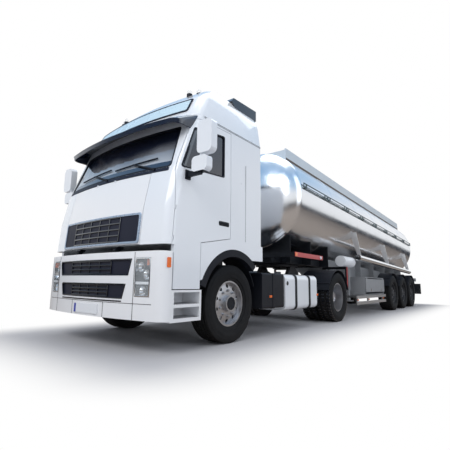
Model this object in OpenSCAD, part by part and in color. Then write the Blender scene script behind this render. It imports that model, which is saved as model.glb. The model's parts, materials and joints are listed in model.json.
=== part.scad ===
// Articulated tanker lorry: a two-axle cab-over tractor and a three-axle polished tank semi-trailer.
// X runs across (+X is the vehicle's left), Y runs back from the front, Z is up, and Z = 0 is the road.
// Every module works in lengths from the front of the lorry; place() then moves the origin to the middle of
// the footprint. All sizes are in millimetres.

/* [Overall] */
// Length from the front number plate to the rear lamps
overall_l = 14050; // [13400:50:14600]
// Width over the cab and the tyres
body_w = 2490; // [2300:10:2550]
// Height of the cab roof
cab_top = 3450; // [3300:10:3700]
// Distance from the front bumper's face to the back wall of the cab
cab_l = 2060; // [1950:10:2300]

/* [Tractor] */
// Front axle behind the front bumper
front_overhang = 1380; // [1320:10:1450]
// Front axle to drive axle
wheelbase = 3700; // [3600:50:3900]
// Kingpin ahead of the drive axle
kingpin_lead = 480; // [350:10:600]
// Frame behind the drive axle
tractor_overhang = 870; // [750:10:950]
// Width over the two frame rails
frame_w = 850; // [780:10:860]
// Height of a frame rail
rail_h = 270; // [220:5:300]
// Height of the rails' top above the road
frame_top = 960; // [900:10:1000]
// Thickness of the rails' steel
rail_t = 9; // [6:1:14]

/* [Wheels] */
// Tractor tyre diameter
tyre_d = 1014; // [960:2:1080]
// Tractor tyre width
tyre_w = 315; // [290:5:330]
// Trailer tyre diameter
trailer_tyre_d = 1072; // [990:2:1080]
// Trailer tyre width
trailer_tyre_w = 385; // [365:5:395]
// Radius of the rim where the tyre seats
bead_r = 286; // [276:1:296]
// Bolted wheel discs have this many hand holes
hand_holes = 10; // [6:1:12]
// Steering lock pin radius
steer_pin_r = 25; // [20:1:30]
// Stub axle radius
stub_r = 45; // [38:1:55]

/* [Cab] */
// Thickness of a door or a cab wall
wall_t = 55; // [40:1:70]
// Gap round a door or a lid
panel_gap = 7; // [5:1:10]
// Front edge of the doors at their foot
door_front = 245; // [240:1:255]
// How far the doors' front edge leans back between its foot and the window
door_lean_back = 55; // [50:1:60]
// Rear edge of the doors
door_rear = 1270; // [1200:5:1350]
// Underside of the cab's front
cab_low = 1188; // [1180:2:1220]
// Height of the foot of the windscreen
belt_z = 2050; // [2030:5:2070]
// Height of the seam between the steel body and the roof cap
roof_seam = 2860; // [2820:10:2900]
// Radius of the wheel arch
arch_r = 708; // [690:2:720]

/* [Trailer] */
// Radius of the tank
tank_r = 1050; // [950:10:1100]
// Thickness of the tank's plate
tank_wall = 6; // [4:1:10]
// Slope of the tank down to its outlet, in degrees
tank_slope = 1.8; // [1:0.1:2.2]
// Front seam of the tank behind the front bumper
tank_front = 3850; // [3800:10:4000]
// Length of the tank between its end seams
tank_l = 9700; // [9200:50:9900]
// Depth of a dished end
head_depth = 400; // [300:10:450]
// Height of the tank's axis at its front seam
tank_z = 2520; // [2480:10:2600]
// Middle trailer axle behind the front bumper
bogie_y = 11060; // [10800:10:11300]
// Trailer axle spacing
axle_gap = 1310; // [1290:10:1400]
// Manhole behind the tank's front seam
manhole_y = 4500; // [3500:50:6000]
// Radius of the kingpin
kingpin_r = 25.4; // [25.4, 44.5]
// Radius of a manhole's neck
manhole_r = 250; // [220:5:280]
// Height of the coupling face
coupling_z = 1180; // [1160:5:1220]

/* [Outlet] */
// Bore radius of the discharge pipe
outlet_r = 40; // [32:1:50]
// Bolt circle of the discharge flange
outlet_pcd = 160; // [150:1:180]
// Radius of a flange bolt hole
outlet_hole_r = 9; // [7:0.5:11]

/* [Hidden] */
$fn = 64;
half_w = body_w / 2;
drive_y = front_overhang + wheelbase;
kingpin_y = drive_y - kingpin_lead;
tractor_rear = drive_y + tractor_overhang;
wheel_z = tyre_d / 2;
trailer_wheel_z = trailer_tyre_d / 2;
seat_gap = 0.3;                     // clearance between pieces that rest on one another
bearing_gap = 0.06;                 // running clearance of a shaft or pin
sides = [1, -1];

// Tractor frame
rail_w = 80;
rail_x = frame_w / 2 - rail_w;      // inner face of a frame rail
rail_front = 75;                    // front end of the rails
rail_foot = frame_top - rail_h;
crossmember_l = 60;
crossmember_y = [rail_front, 620, 1950, 3150, 4300, 5200, tractor_rear - crossmember_l];

// Wheels and steering
steer_x = 800;                      // steering pin from the centreline
eye_half = 75;                      // half the height of the axle's eye
eye_r = 55;
lip_h = 16;                         // how far a rim's lip stands above the bead
lip_t = 9;
disc_t = 14;
front_tyre_x = half_w - 48 - tyre_w / 2;
twin_half = tyre_w / 2 + 15;        // middle of a twin pair to the middle of one tyre
twin_x = half_w - 2 - tyre_w - 15;
trailer_tyre_x = half_w - trailer_tyre_w / 2;
front_disc_z = 88;                  // outer faces of the discs, out from the middle of the tyre or pair
twin_disc_z = disc_t;
trailer_disc_z = 90;
trailer_axles = [bogie_y - axle_gap, bogie_y, bogie_y + axle_gap];
guard_gap = 53;                     // mudguard clear of the drive tyre

// Cab: its walls pass through these bands. Columns are height, front face, half width and back face.
bow_r = 6000;                       // radius of the bowed front
corner_r = 130;                     // front corners
back_corner_r = 60;
cab_front = 45;
cab_bands = [
    [cab_low, cab_front, half_w, cab_l],
    [1600, cab_front + 30, half_w, cab_l],
    [belt_z, cab_front + 120, half_w, cab_l],
    [2760, cab_front + 385, half_w - 10, cab_l],
    [roof_seam, cab_front + 425, half_w - 10, cab_l],
    [cab_top - 270, cab_front + 595, half_w - 55, cab_l - 10],
    [cab_top - 70, cab_front + 805, half_w - 125, cab_l - 30],
    [cab_top, cab_front + 1055, half_w - 225, cab_l - 70]];
floor_top = cab_low + 52;
tilt_y = 100;                       // tilt axis of the cab
tilt_z = cab_low - 48;
sill_z = 1160;                      // foot of a door at its front edge
sill_rise = 0.187;                  // rise of a door's foot per length
door_top = 2815;
skirt = [276, 700, 700];            // lower door panel: front edge, rear edge and foot
door_lean = atan(door_lean_back / (belt_z - sill_z));
hinge_x = half_w - 12;
hinge_in = 5;                       // hinge axis behind the door's edge
hinge_heights = [1240, 1590];
window = [[345, 2095], [1135, 2150], [1140, 2735], [560, 2665]];    // side window: Y and Z
screen = [[1120, 2105], [1060, 2700]];                              // windscreen: half width and Z
flap_half = 845;                    // front flap
flap_foot = cab_low + 8;
flap_hinge_y = cab_front + 126;
flap_hinge_z = belt_z - 6;
flap_hinge_x = 200;
arch_y = front_overhang;
lip_in = arch_r - 98;               // inner radius of the wheel arch lip
guard_r = 640;                      // front mudguard

// Front bumper: openings by their half widths at top and foot, and their heights
bumper_front = 6;
bumper_t = 45;
bumper_z = [360, 1110];
grille_rows = [[800, 750, 840, 1030], [720, 670, 580, 750]];
lamp = [850, 1070, 610, 1040];      // headlamp: X from, X to, foot and top

// Trailer, in the tank's own frame: Y from the front seam, Z from the axis
beam_x = [400, 480];
neck_rear = 6400;
neck_z = [coupling_z + 10.5, 1400];
beam_foot = 930;
frame_rear = 13900;
coaming_x = [600, 630];
deck_z = tank_r + 10;
side_rail_n = 8;
hose_r = 75;
white_tube = [950, 1330, 130];                  // X, Z and radius of the short tube on each side
cabinet = [550, 1120, 7250, 9000, 510, 975];    // X from, X to, Y from, Y to, foot and top
cabinet_wall = 20;
lid_y = manhole_y + manhole_r + 60;             // hinge of the manhole lid
lid_z = tank_r + 90;

// ---------------------------------------------------------------- helpers
module place() { translate([0, -overall_l / 2, 0]) children(); }

// The child on the left side, or its mirror image on the right.
module on_side(s) { if (s > 0) children(); else mirror([1, 0, 0]) children(); }
module both_sides() { for (s = sides) on_side(s) children(); }

// A box from its lowest corner to its highest.
module box(lo, hi) { translate(lo) cube(hi - lo); }

// Round bars along each axis.
module bar_x(x0, x1, y, z, r) { translate([x0, y, z]) rotate([0, 90, 0]) cylinder(r = r, h = x1 - x0); }
module bar_y(x, y0, y1, z, r) { translate([x, y0, z]) rotate([-90, 0, 0]) cylinder(r = r, h = y1 - y0); }
module bar_z(x, y, z0, z1, r) { translate([x, y, z0]) cylinder(r = r, h = z1 - z0); }

// A rectangle whose corners are true arcs.
module rounded_rect(w, h, r) {
    square([w - 2 * r, h], center = true);
    square([w, h - 2 * r], center = true);
    for (x = [-1, 1], y = [-1, 1]) translate([x * (w / 2 - r), y * (h / 2 - r)]) circle(r = r);
}

// A side view, with Y across and Z up, extruded from x0 to x1; and a front view, from y0 to y1.
module side_view(x0, x1) { translate([x0, 0, 0]) rotate([90, 0, 90]) linear_extrude(x1 - x0) children(); }
module front_view(y0, y1) { translate([0, y1, 0]) rotate([90, 0, 0]) linear_extrude(y1 - y0) children(); }

// Part of a ring about an axle at y, z. Angles run from the rear, up over the top.
module ring_part(y, z, r_in, r_out, a0, a1, x0, x1) {
    pie = [[0, 0], for (i = [0:6]) let (a = a0 + (a1 - a0) * i / 6) 1.3 * r_out * [cos(a), sin(a)]];
    translate([0, y, z]) side_view(x0, x1) intersection() {
        difference() { circle(r = r_out); circle(r = r_in); }
        polygon(pie);
    }
}

// ---------------------------------------------------------------- wheels, about Z with the outer side up
// Half a tyre's section: radius, and half the width there.
function bead_half(w) = w * 0.36;
function tyre_section(r, w) = [
    [bead_r + seat_gap, bead_half(w) - seat_gap], [bead_r + lip_h + 1, bead_half(w) - seat_gap],
    [bead_r + 45, w * 0.45], [bead_r + (r - bead_r) * 0.48, w * 0.5], [bead_r + (r - bead_r) * 0.72, w * 0.485],
    [r - 22, w * 0.45], [r - 5, w * 0.41], [r, w * 0.36]];
module tyre(d, w) {
    s = tyre_section(d / 2, w);
    n = len(s);
    rotate_extrude() polygon([for (p = s) p, for (i = [n - 1:-1:0]) [s[i][0], -s[i][1]]]);
}

// Barrel of a rim, h half its width.
module rim_barrel(h) {
    lip = bead_r + lip_h;
    well = bead_r - 12;
    rotate_extrude() polygon([
        [lip, h], [lip, h - lip_t], [bead_r, h - lip_t], [bead_r, lip_t - h], [lip, lip_t - h], [lip, -h],
        [well, -h], [well, h]]);
}

// Bolted disc with its hand holes: the outer face is at hub_z near the hub and at edge_z at the barrel.
module rim_disc(hub_z, edge_z) {
    edge = bead_r - 6;
    bore = stub_r + bearing_gap;
    difference() {
        rotate_extrude() polygon([[bore, hub_z], [190, hub_z], [edge, edge_z], [edge, edge_z - disc_t],
                                  [190, hub_z - disc_t], [bore, hub_z - disc_t]]);
        for (i = [1:hand_holes]) rotate(i * 360 / hand_holes) translate([226, 0, hub_z - 120])
            cylinder(r = 26, h = 240);
    }
}

// Hub and brake drum: a closed cap outside, and a bore for the stub axle from the inside.
module hub(inner_z, disc_z, outer_z, drum_r) {
    difference() {
        union() {
            translate([0, 0, inner_z]) cylinder(r = drum_r, h = disc_z - disc_t - inner_z);
            translate([0, 0, disc_z - disc_t]) cylinder(r = 105, h = outer_z - disc_z + disc_t);
        }
        translate([0, 0, inner_z - 1]) cylinder(r = stub_r + bearing_gap, h = outer_z - 20 - inner_z);
    }
}

// Turns a wheel so that its outer side faces side s, and sets it on its axle.
module on_axle(s, x, y, z) { place() on_side(s) translate([x, y, z]) rotate([0, 90, 0]) children(); }

module tyre_front(s) {
    on_axle(s, front_tyre_x, front_overhang, wheel_z) color("#1b1c1e") tyre(tyre_d, tyre_w);
}
module rim_front(s) {
    on_axle(s, front_tyre_x, front_overhang, wheel_z) color("silver") {
        rim_barrel(bead_half(tyre_w) + lip_t);
        rim_disc(front_disc_z, front_disc_z - 28);
        hub(-60, front_disc_z, front_disc_z + 62, 175);
    }
}
module tyres_drive(s) {
    for (k = sides) on_axle(s, twin_x + k * twin_half, drive_y, wheel_z) color("#1b1c1e") tyre(tyre_d, tyre_w);
}
// Two rims bolted face to face, so that the outer one is deeply dished.
module rims_drive(s) {
    on_axle(s, twin_x, drive_y, wheel_z) color("silver") {
        for (k = sides) mirror([0, 0, (1 - k) / 2]) {
            translate([0, 0, twin_half]) rim_barrel(bead_half(tyre_w) + lip_t);
            rim_disc(twin_disc_z, twin_half - bead_half(tyre_w) + 34);
        }
        hub(-160, twin_disc_z, 195, 175);
    }
}
module trailer_wheel(s, i) {
    on_axle(s, trailer_tyre_x, trailer_axles[i - 1], trailer_wheel_z) {
        color("#1b1c1e") tyre(trailer_tyre_d, trailer_tyre_w);
        color("dimgray") {
            rim_barrel(bead_half(trailer_tyre_w) + lip_t);
            rim_disc(trailer_disc_z, trailer_disc_z - 22);
            hub(-130, trailer_disc_z, trailer_disc_z + 62, 190);
        }
    }
}

// ---------------------------------------------------------------- tractor
module tractor_frame() {
    place() color("#2a2c2f") {
        both_sides() {
            difference() {
                box([rail_x, rail_front, rail_foot], [rail_x + rail_w, tractor_rear, frame_top]);
                box([rail_x - 1, rail_front - 1, rail_foot + rail_t],
                    [rail_x + rail_w - rail_t, tractor_rear + 1, frame_top - rail_t]);
            }
            box([rail_x + 15, 1900, frame_top - 1], [rail_x + rail_w - 5, 1960, cab_low - seat_gap]);
            box([395, 72, frame_top - 1], [415, 128, tilt_z + 25]);
            bar_x(396, 450, tilt_y, tilt_z, 15);
        }
        for (y = crossmember_y)
            box([-rail_x - 71, y, 730], [rail_x + 71, y + crossmember_l, 920]);
        box([-430, 2150, frame_top], [430, 3700, frame_top + 5]);
        box([-900, tractor_rear - 60, 705], [900, tractor_rear, 800]);
    }
}

module engine() {
    place() color("dimgray") box([-rail_x, 700, 560], [rail_x, 1900, 1140]);
}

module front_axle() {
    place() translate([0, front_overhang, wheel_z]) color("#2a2c2f") {
        box([-730, -45, -107], [730, 45, -7]);
        both_sides() difference() {
            union() {
                box([690, -45, -65], [steer_x, 45, 65]);
                bar_z(steer_x, 0, -eye_half, eye_half, eye_r);
            }
            bar_z(steer_x, 0, -eye_half - 1, eye_half + 1, steer_pin_r + bearing_gap);
        }
    }
}

// Steering knuckle: the pin through the axle's eye, the fork that bridges it and the stub axle.
module knuckle(s) {
    place() on_side(s) translate([steer_x, front_overhang, wheel_z]) color("dimgray") {
        bar_z(0, 0, -eye_half - 23, eye_half + 23, steer_pin_r);
        for (k = sides) translate([0, 0, k * (eye_half + 13)]) box([-40, -45, -10], [90, 45, 10]);
        box([60, -50, -eye_half - 23], [90, 50, eye_half + 23]);
        bar_x(61, front_tyre_x - steer_x + front_disc_z + 30, 0, 0, stub_r);
    }
}

module drive_axle() {
    place() translate([0, drive_y, wheel_z]) color("#2a2c2f") {
        bar_x(5 - (twin_x - 165), twin_x - 165 - 5, 0, 0, 85);
        bar_y(0, -190, 200, 0, 205);
        bar_x(-(twin_x + 165), twin_x + 165, 0, 0, stub_r);
    }
}

module tractor_suspension() {
    place() color("#232527") both_sides() {
        // Front leaf springs on their hangers and the axle
        translate([0, front_overhang, 0]) {
            box([350, -600, 585], [420, 620, 625]);
            box([350, -600, 584], [420, -530, rail_foot]);
            box([350, 550, 584], [420, 620, rail_foot]);
            box([345, -60, wheel_z - 7], [425, 60, 590]);
        }
        // Drive axle's arms, seats and air springs
        translate([0, drive_y, 0]) {
            box([340, -480, 385], [430, 500, wheel_z - 85 - seat_gap]);
            for (y = [-400, 400]) bar_z(385, y, 400, rail_foot, 95);
        }
    }
}

// Bowed plan of the cab's front, cut back by inset all round.
function half_plan(front, half, back, inset) =
    let (r = corner_r - inset, rb = max(back_corner_r - inset, 5), f = front + inset, w = half - inset,
         b = back - inset, br = bow_r - inset, phi = asin((w - r) / (br - r)),
         yc = f + br - (br - r) * cos(phi))
    [for (i = [0:6]) let (a = phi * i / 6) [br * sin(a), f + br - br * cos(a)],
     for (i = [1:5]) let (a = phi + (90 - phi) * i / 5) [w - r + r * sin(a), yc - r * cos(a)],
     for (i = [0:3]) let (a = 90 + 30 * i) [w - rb + rb * sin(a), b - rb - rb * cos(a)]];
function plan(front, half, back, inset) =
    let (h = half_plan(front, half, back, inset), n = len(h))
    [for (p = h) p, for (i = [n - 1:-1:1]) [-h[i][0], h[i][1]]];

module front_bumper() {
    band = plan(bumper_front, half_w, 900, 0);
    inner = plan(bumper_front, half_w, 900, bumper_t);
    place() color("white") {
        difference() {
            translate([0, 0, bumper_z[0]]) linear_extrude(bumper_z[1] - bumper_z[0]) polygon(band);
            translate([0, 0, bumper_z[0] - 1]) linear_extrude(bumper_z[1] - bumper_z[0] + 2) polygon(inner);
            box([-half_w - 1, 258, 690], [half_w + 1, 901, bumper_z[1] + 1]);
            box([-half_w - 1, 255, bumper_z[0] - 1], [half_w + 1, 901, 691]);
            front_view(-1, 250) grille_holes(0);
            both_sides() front_view(-1, 250) lamp_hole(0);
        }
        both_sides() box([rail_x + 5, 50, 765], [rail_x + rail_w - 5, rail_front, 830]);
        both_sides() entry_steps();
        // Pad for the number plate
        box([-260, 0, 385], [260, 30, 505]);
    }
}
module grille_holes(gap) {
    for (g = grille_rows)
        polygon([[-g[1] + gap, g[2] + gap], [g[1] - gap, g[2] + gap], [g[0] - gap, g[3] - gap],
                 [-g[0] + gap, g[3] - gap]]);
}
module lamp_hole(gap) {
    translate([lamp[0] + gap, lamp[2] + gap]) square([lamp[1] - lamp[0] - 2 * gap, lamp[3] - lamp[2] - 2 * gap]);
}
// Two steps in a housing below the door, carried by an arm from the frame.
module entry_steps() {
    difference() {
        box([900, 250, 345], [half_w - 2, 735, 690]);
        box([960, 300, 385], [half_w + 1, 705, 500]);
        box([960, 300, 535], [half_w + 1, 705, 665]);
    }
    box([rail_x + rail_w, 480, rail_foot - 50], [905, 540, rail_foot + 60]);
}

module lower_grilles() {
    place() color("#202224") intersection() {
        difference() {
            translate([0, 0, 500]) linear_extrude(600) polygon(plan(bumper_front, half_w, 900, 18));
            translate([0, 0, 499]) linear_extrude(602) polygon(plan(bumper_front, half_w, 900, 38));
        }
        front_view(-1, 250) grille_holes(seat_gap);
    }
}

module headlamps() {
    place() color("gainsboro") both_sides() intersection() {
        difference() {
            translate([0, 0, 500]) linear_extrude(600) polygon(plan(bumper_front, half_w, 900, 4));
            translate([0, 0, 499]) linear_extrude(602) polygon(plan(bumper_front, half_w, 900, 100));
        }
        front_view(-1, 300) lamp_hole(seat_gap);
    }
}

module tractor_mudguards() {
    drive_guard_r = tyre_d / 2 + guard_gap;
    place() color("#26282b") both_sides() {
        ring_part(front_overhang, wheel_z, guard_r, guard_r + 12, 20, 165, 800, 1140);
        for (a = [75, 105]) {
            y = front_overhang + (guard_r + 3) * cos(a);
            z = wheel_z + (guard_r + 3) * sin(a);
            bar_x(rail_x + rail_w - 20, 1140, y, z, 14);
            box([rail_x + rail_w - 40, y - 20, frame_top], [rail_x + rail_w - 5, y + 20, z + 14]);
        }
        ring_part(drive_y, wheel_z, drive_guard_r, drive_guard_r + 8, 15, 165, twin_x - twin_half - tyre_w / 2 - 3, half_w);
        for (a = [30, 150])
            bar_x(rail_x + rail_w, half_w - 10, drive_y + (drive_guard_r + 6) * cos(a),
                  wheel_z + (drive_guard_r + 6) * sin(a), 18);
    }
}

module fuel_tanks() {
    place() color("white") both_sides() {
        translate([920, 0, 635]) front_view(2790, 4000) rounded_rect(600, 590, 90);
        for (y = [3130, 3650]) box([rail_x + rail_w, y, 420], [625, y + 60, 880]);
    }
}

module side_boxes() {
    place() color("#2b2d30") both_sides() {
        translate([918, 0, 665]) front_view(2100, 2750) rounded_rect(590, 530, 30);
        for (y = [2200, 2590]) box([rail_x + rail_w, y, 700], [640, y + 60, 880]);
    }
}

module fifth_wheel() {
    place() translate([0, kingpin_y, 0]) color("#303236") {
        difference() {
            union() {
                intersection() {
                    bar_z(0, 0, coupling_z - 45, coupling_z, 470);
                    box([-430, -480, coupling_z - 46], [430, 480, coupling_z + 1]);
                }
                bar_z(0, 0, coupling_z - 85, coupling_z - 1, 90);
            }
            bar_z(0, 0, coupling_z - 90, coupling_z + 1, kingpin_r + bearing_gap);
        }
        both_sides() side_view(330, 410) polygon([[-230, frame_top + 12], [230, frame_top + 12],
                                                  [110, coupling_z - 44], [-110, coupling_z - 44]]);
        box([-rail_x - rail_w, -300, frame_top], [rail_x + rail_w, 300, frame_top + 14]);
    }
}

// ---------------------------------------------------------------- cab
// The cab's outer form cut back by inset all round and open below when it is an inner form.
module cab_form(inset) {
    n = len(cab_bands);
    for (i = [0:n - 2]) hull() {
        cab_slice(i, inset);
        cab_slice(i + 1, inset);
    }
}
module cab_slice(i, inset) {
    b = cab_bands[i];
    z = i == 0 && inset > 0 ? b[0] - 5 : i == len(cab_bands) - 1 ? b[0] - inset : b[0];
    translate([0, 0, z]) linear_extrude(0.02) polygon(plan(b[1], b[2], b[3], inset));
}
module cab_skin(outer, inner) { difference() { cab_form(outer); cab_form(inner); } }

function edge_y(z) = door_front + door_lean_back * (z - sill_z) / (belt_z - sill_z);
function foot_z(y) = sill_z + (y - door_front) * sill_rise;

// Side view of a door above its skirt, and of the skirt.
module door_outline() {
    polygon([[door_front, sill_z], [door_rear, foot_z(door_rear)], [door_rear, door_top],
             [530, door_top - 25], [edge_y(belt_z), belt_z]]);
}
module skirt_outline() {
    polygon([[skirt[0], skirt[2]], [skirt[1], skirt[2]], [skirt[1], foot_z(skirt[1]) + 30],
             [skirt[0], foot_z(skirt[0]) + 30]]);
}
module window_outline(gap) {
    offset(r = 30) offset(delta = -30 - gap) polygon(window);
}
module screen_outline(gap) {
    offset(r = 40) offset(delta = -40 - gap)
        polygon([[-screen[0][0], screen[0][1]], [screen[0][0], screen[0][1]],
                 [screen[1][0], screen[1][1]], [-screen[1][0], screen[1][1]]]);
}
module flap_outline(gap) {
    translate([-flap_half - gap, flap_foot - gap]) square([2 * (flap_half + gap), belt_z - flap_foot + 2 * gap]);
}

// One hinge of a door along its leaning axis: which = "lug" for the cab's half, "room" for the cut in the door.
module door_hinges(grow, pin_grow) {
    for (z = hinge_heights)
        translate([hinge_x, edge_y(z) + hinge_in, z]) rotate([-door_lean, 0, 0]) {
            translate([0, 0, -grow]) cylinder(r = 5 + grow, h = 36 + 2 * grow, $fn = 24);
            translate([0, 0, -20]) cylinder(r = 3 + pin_grow, h = 76, $fn = 24);
        }
}

module door(s) {
    inner_x = half_w - wall_t - 12;
    place() on_side(s) color("white") difference() {
        union() {
            intersection() {
                cab_skin(0, wall_t);
                side_view(inner_x, half_w + 1) door_outline();
            }
            side_view(half_w - wall_t, half_w) skirt_outline();
        }
        side_view(inner_x - 10, half_w + 10) window_outline(0);
        door_hinges(6, 0.3);
    }
}
module door_glass(s) {
    place() on_side(s) color("#3a4650") intersection() {
        cab_skin(16, 22);
        side_view(half_w - 200, half_w + 1) window_outline(seat_gap);
    }
}

module cab_shell() {
    hole_x = half_w - wall_t - 12 - panel_gap;
    place() color("white") {
        difference() {
            union() {
                intersection() {
                    cab_skin(0, wall_t);
                    box([-half_w - 1, 0, cab_low - 1], [half_w + 1, cab_l + 1, roof_seam]);
                }
                // Floor, cowl shelf and the wall behind the front flap
                translate([0, 0, cab_low]) linear_extrude(floor_top - cab_low) polygon(
                    plan(cab_front, half_w, cab_l, wall_t + panel_gap + 3));
                box([-half_w + 20, door_rear + 20, cab_low], [half_w - 20, cab_l - 20, floor_top]);
                intersection() {
                    cab_form(20);
                    union() {
                        box([-1150, 300, floor_top - 1], [1150, 320, belt_z + 25]);
                        box([-1150, 100, belt_z + 7], [1150, 320, belt_z + 25]);
                    }
                }
                // Arch panels ahead of and behind the wheels
                both_sides() side_view(half_w - wall_t, half_w) polygon([
                    [skirt[1] + panel_gap + 1, 800], [skirt[1] + panel_gap + 1, foot_z(skirt[1]) - panel_gap],
                    [door_rear, foot_z(door_rear) - panel_gap], [door_rear + panel_gap, cab_low + 120],
                    [cab_l, cab_low + 120], [cab_l, 1090], [arch_y + 300, 1090]]);
            }
            both_sides() {
                side_view(hole_x, half_w + 10) offset(delta = panel_gap) {
                    door_outline();
                    skirt_outline();
                }
                bar_x(half_w - 100, half_w + 10, arch_y, wheel_z, arch_r);
            }
            front_view(-10, 800) screen_outline(0);
            front_view(-10, 240) flap_outline(panel_gap);
        }
        both_sides() {
            door_hinges(0, 0);
            for (z = hinge_heights) side_view(hinge_x - 5, hinge_x + 5)
                polygon([for (k = [[0, 0], [0, 36], [1, 36], [1, 0]])
                    [edge_y(z + k[1]) + (k[0] > 0 ? hinge_in : -panel_gap - 8), z + k[1]]]);
            // Hinge of the front flap
            translate([flap_hinge_x, 0, 0]) {
                bar_x(-15, 15, flap_hinge_y, flap_hinge_z, 5, $fn = 24);
                bar_x(-30, 30, flap_hinge_y, flap_hinge_z, 3, $fn = 24);
                box([-15, flap_hinge_y - 4, flap_hinge_z], [15, flap_hinge_y + 4, belt_z + 12]);
            }
        }
    }
}

module front_flap() {
    place() color("#303236") difference() {
        intersection() {
            cab_skin(0, wall_t);
            front_view(-10, 240 - panel_gap) flap_outline(0);
        }
        both_sides() translate([flap_hinge_x, 0, 0]) {
            bar_x(-21, 21, flap_hinge_y, flap_hinge_z, 11, $fn = 24);
            bar_x(-32, 32, flap_hinge_y, flap_hinge_z, 3.3, $fn = 24);
        }
    }
}

// The two arms that carry the cab's front on its tilt axis.
module cab_tilt_lugs() {
    place() color("dimgray") both_sides() difference() {
        union() {
            bar_x(418, 443, tilt_y, tilt_z, 28);
            side_view(418, 443) polygon([[tilt_y - 24, tilt_z + 12], [tilt_y + 10, tilt_z - 26],
                                         [tilt_y + 90, cab_low - 14], [tilt_y + 90, cab_low], [tilt_y + 26, cab_low]]);
        }
        bar_x(417, 444, tilt_y, tilt_z, 15 + bearing_gap);
    }
}

module roof_cap() {
    place() color("white") intersection() {
        cab_skin(0, wall_t);
        box([-half_w, 0, roof_seam], [half_w, cab_l + 1, cab_top + 1]);
    }
}

// Sun visor over the windscreen: columns of visor_form are height, front edge and half width.
visor_form = [[2650, 165, 1190], [2700, 150, 1200], [2850, 440, 1215]];
module visor_block(down, back) {
    hull() for (v = visor_form) translate([0, 0, v[0] - down]) linear_extrude(0.02)
        polygon(plan(v[1] + back, v[2] - back, 900, 0));
}
module sun_visor() {
    place() color("#17191c") difference() {
        visor_block(0, 0);
        visor_block(14, 14);
        cab_form(-seat_gap);
        box([-half_w, 620, 2600], [half_w, 901, 2900]);
    }
}

module windscreen() {
    place() color("#3a4650") intersection() {
        cab_skin(14, 22);
        front_view(-10, 800) screen_outline(seat_gap);
    }
}

module roof_spoiler() {
    place() color("#17191c") difference() {
        side_view(-1140, 1140) polygon([[1400, cab_top - 40], [1480, cab_top - 120], [2000, cab_top - 150],
                                        [2040, cab_top - 120], [2040, cab_top + 45], [1450, cab_top + 25]]);
        cab_form(-seat_gap);
    }
}

module wheel_arch_lips() {
    place() color("#232527") both_sides()
        ring_part(arch_y, wheel_z, lip_in, arch_r - 1 - seat_gap, 45, 160, half_w - 95, half_w);
}

module seats() {
    place() color("#3a3d42") both_sides() translate([550, 0, 0]) {
        box([-170, 1000, floor_top], [170, 1380, 1570]);
        side_view(-250, 250) rounded_box([910, 1430, 1560, 1690], 50);
        side_view(-240, 240) rounded_box([1390, 1540, 1640, 2300], 60);
    }
}
module rounded_box(b, r) {
    translate([(b[0] + b[1]) / 2, (b[2] + b[3]) / 2]) rounded_rect(b[1] - b[0], b[3] - b[2], r);
}

module dashboard() {
    place() color("#2b2d30") {
        side_view(-1080, 1080) polygon([[320 + seat_gap, 1600], [640, 1600], [700, 1880], [680, 1990], [560, 2045], [320 + seat_gap, 2045]]);
        translate([550, 770, 1930]) rotate([-25, 0, 0]) {
            rotate_extrude() translate([220, 0]) circle(r = 16, $fn = 24);
            cylinder(r = 70, h = 24, center = true);
            translate([0, 0, -240]) cylinder(r = 32, h = 240);
            for (a = [30, 150, 270]) rotate(a) box([0, -20, -8], [220, 20, 8]);
        }
    }
}

module mirror_set(s) {
    place() on_side(s) color("white") {
        translate([1530, 0, 2420]) front_view(400, 500) rounded_rect(220, 390, 60);
        translate([1460, 0, 2110]) front_view(400, 500) rounded_rect(230, 180, 50);
        bar_z(1455, 440, 2110, 2420, 16);
        box([half_w, 400, 1960], [half_w + 18, 480, 2070]);
        box([half_w + 10, 420, 1985], [1470, 455, 2045]);
    }
}

// ---------------------------------------------------------------- trailer
// Into the sloping frame of the tank: Y from its front seam, Z from its axis.
module on_tank() { place() translate([0, tank_front, tank_z]) rotate([-tank_slope, 0, 0]) children(); }
module tank_cut() { bar_y(0, -2000, tank_l + 2000, 0, tank_r + seat_gap, $fn = 256); }
module tank_room() { on_tank() tank_cut(); }

// The tank's outline at a depth under its skin: a dished end, the barrel and the other end.
function tank_outline(inset) = let (
    end = [for (i = [0:12]) let (a = 90 * i / 12) [(tank_r - inset) * sin(a), (head_depth - inset) * cos(a)]])
    [for (p = end) [p[0], -p[1]], for (i = [12:-1:0]) [end[i][0], tank_l + end[i][1]]];

module tank_barrel() {
    on_tank() color("silver") difference() {
        rotate([-90, 0, 0]) rotate_extrude($fn = 256) polygon(tank_outline(0));
        rotate([-90, 0, 0]) rotate_extrude($fn = 256) polygon(tank_outline(tank_wall));
        bar_z(0, manhole_y, 0, tank_r + 10, manhole_r);
    }
}

// A cross plate whose top is cut to the tank.
module saddle(y, half, foot) { place() box([-half, y - 10, foot], [half, y + 10, 1750]); }

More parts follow.
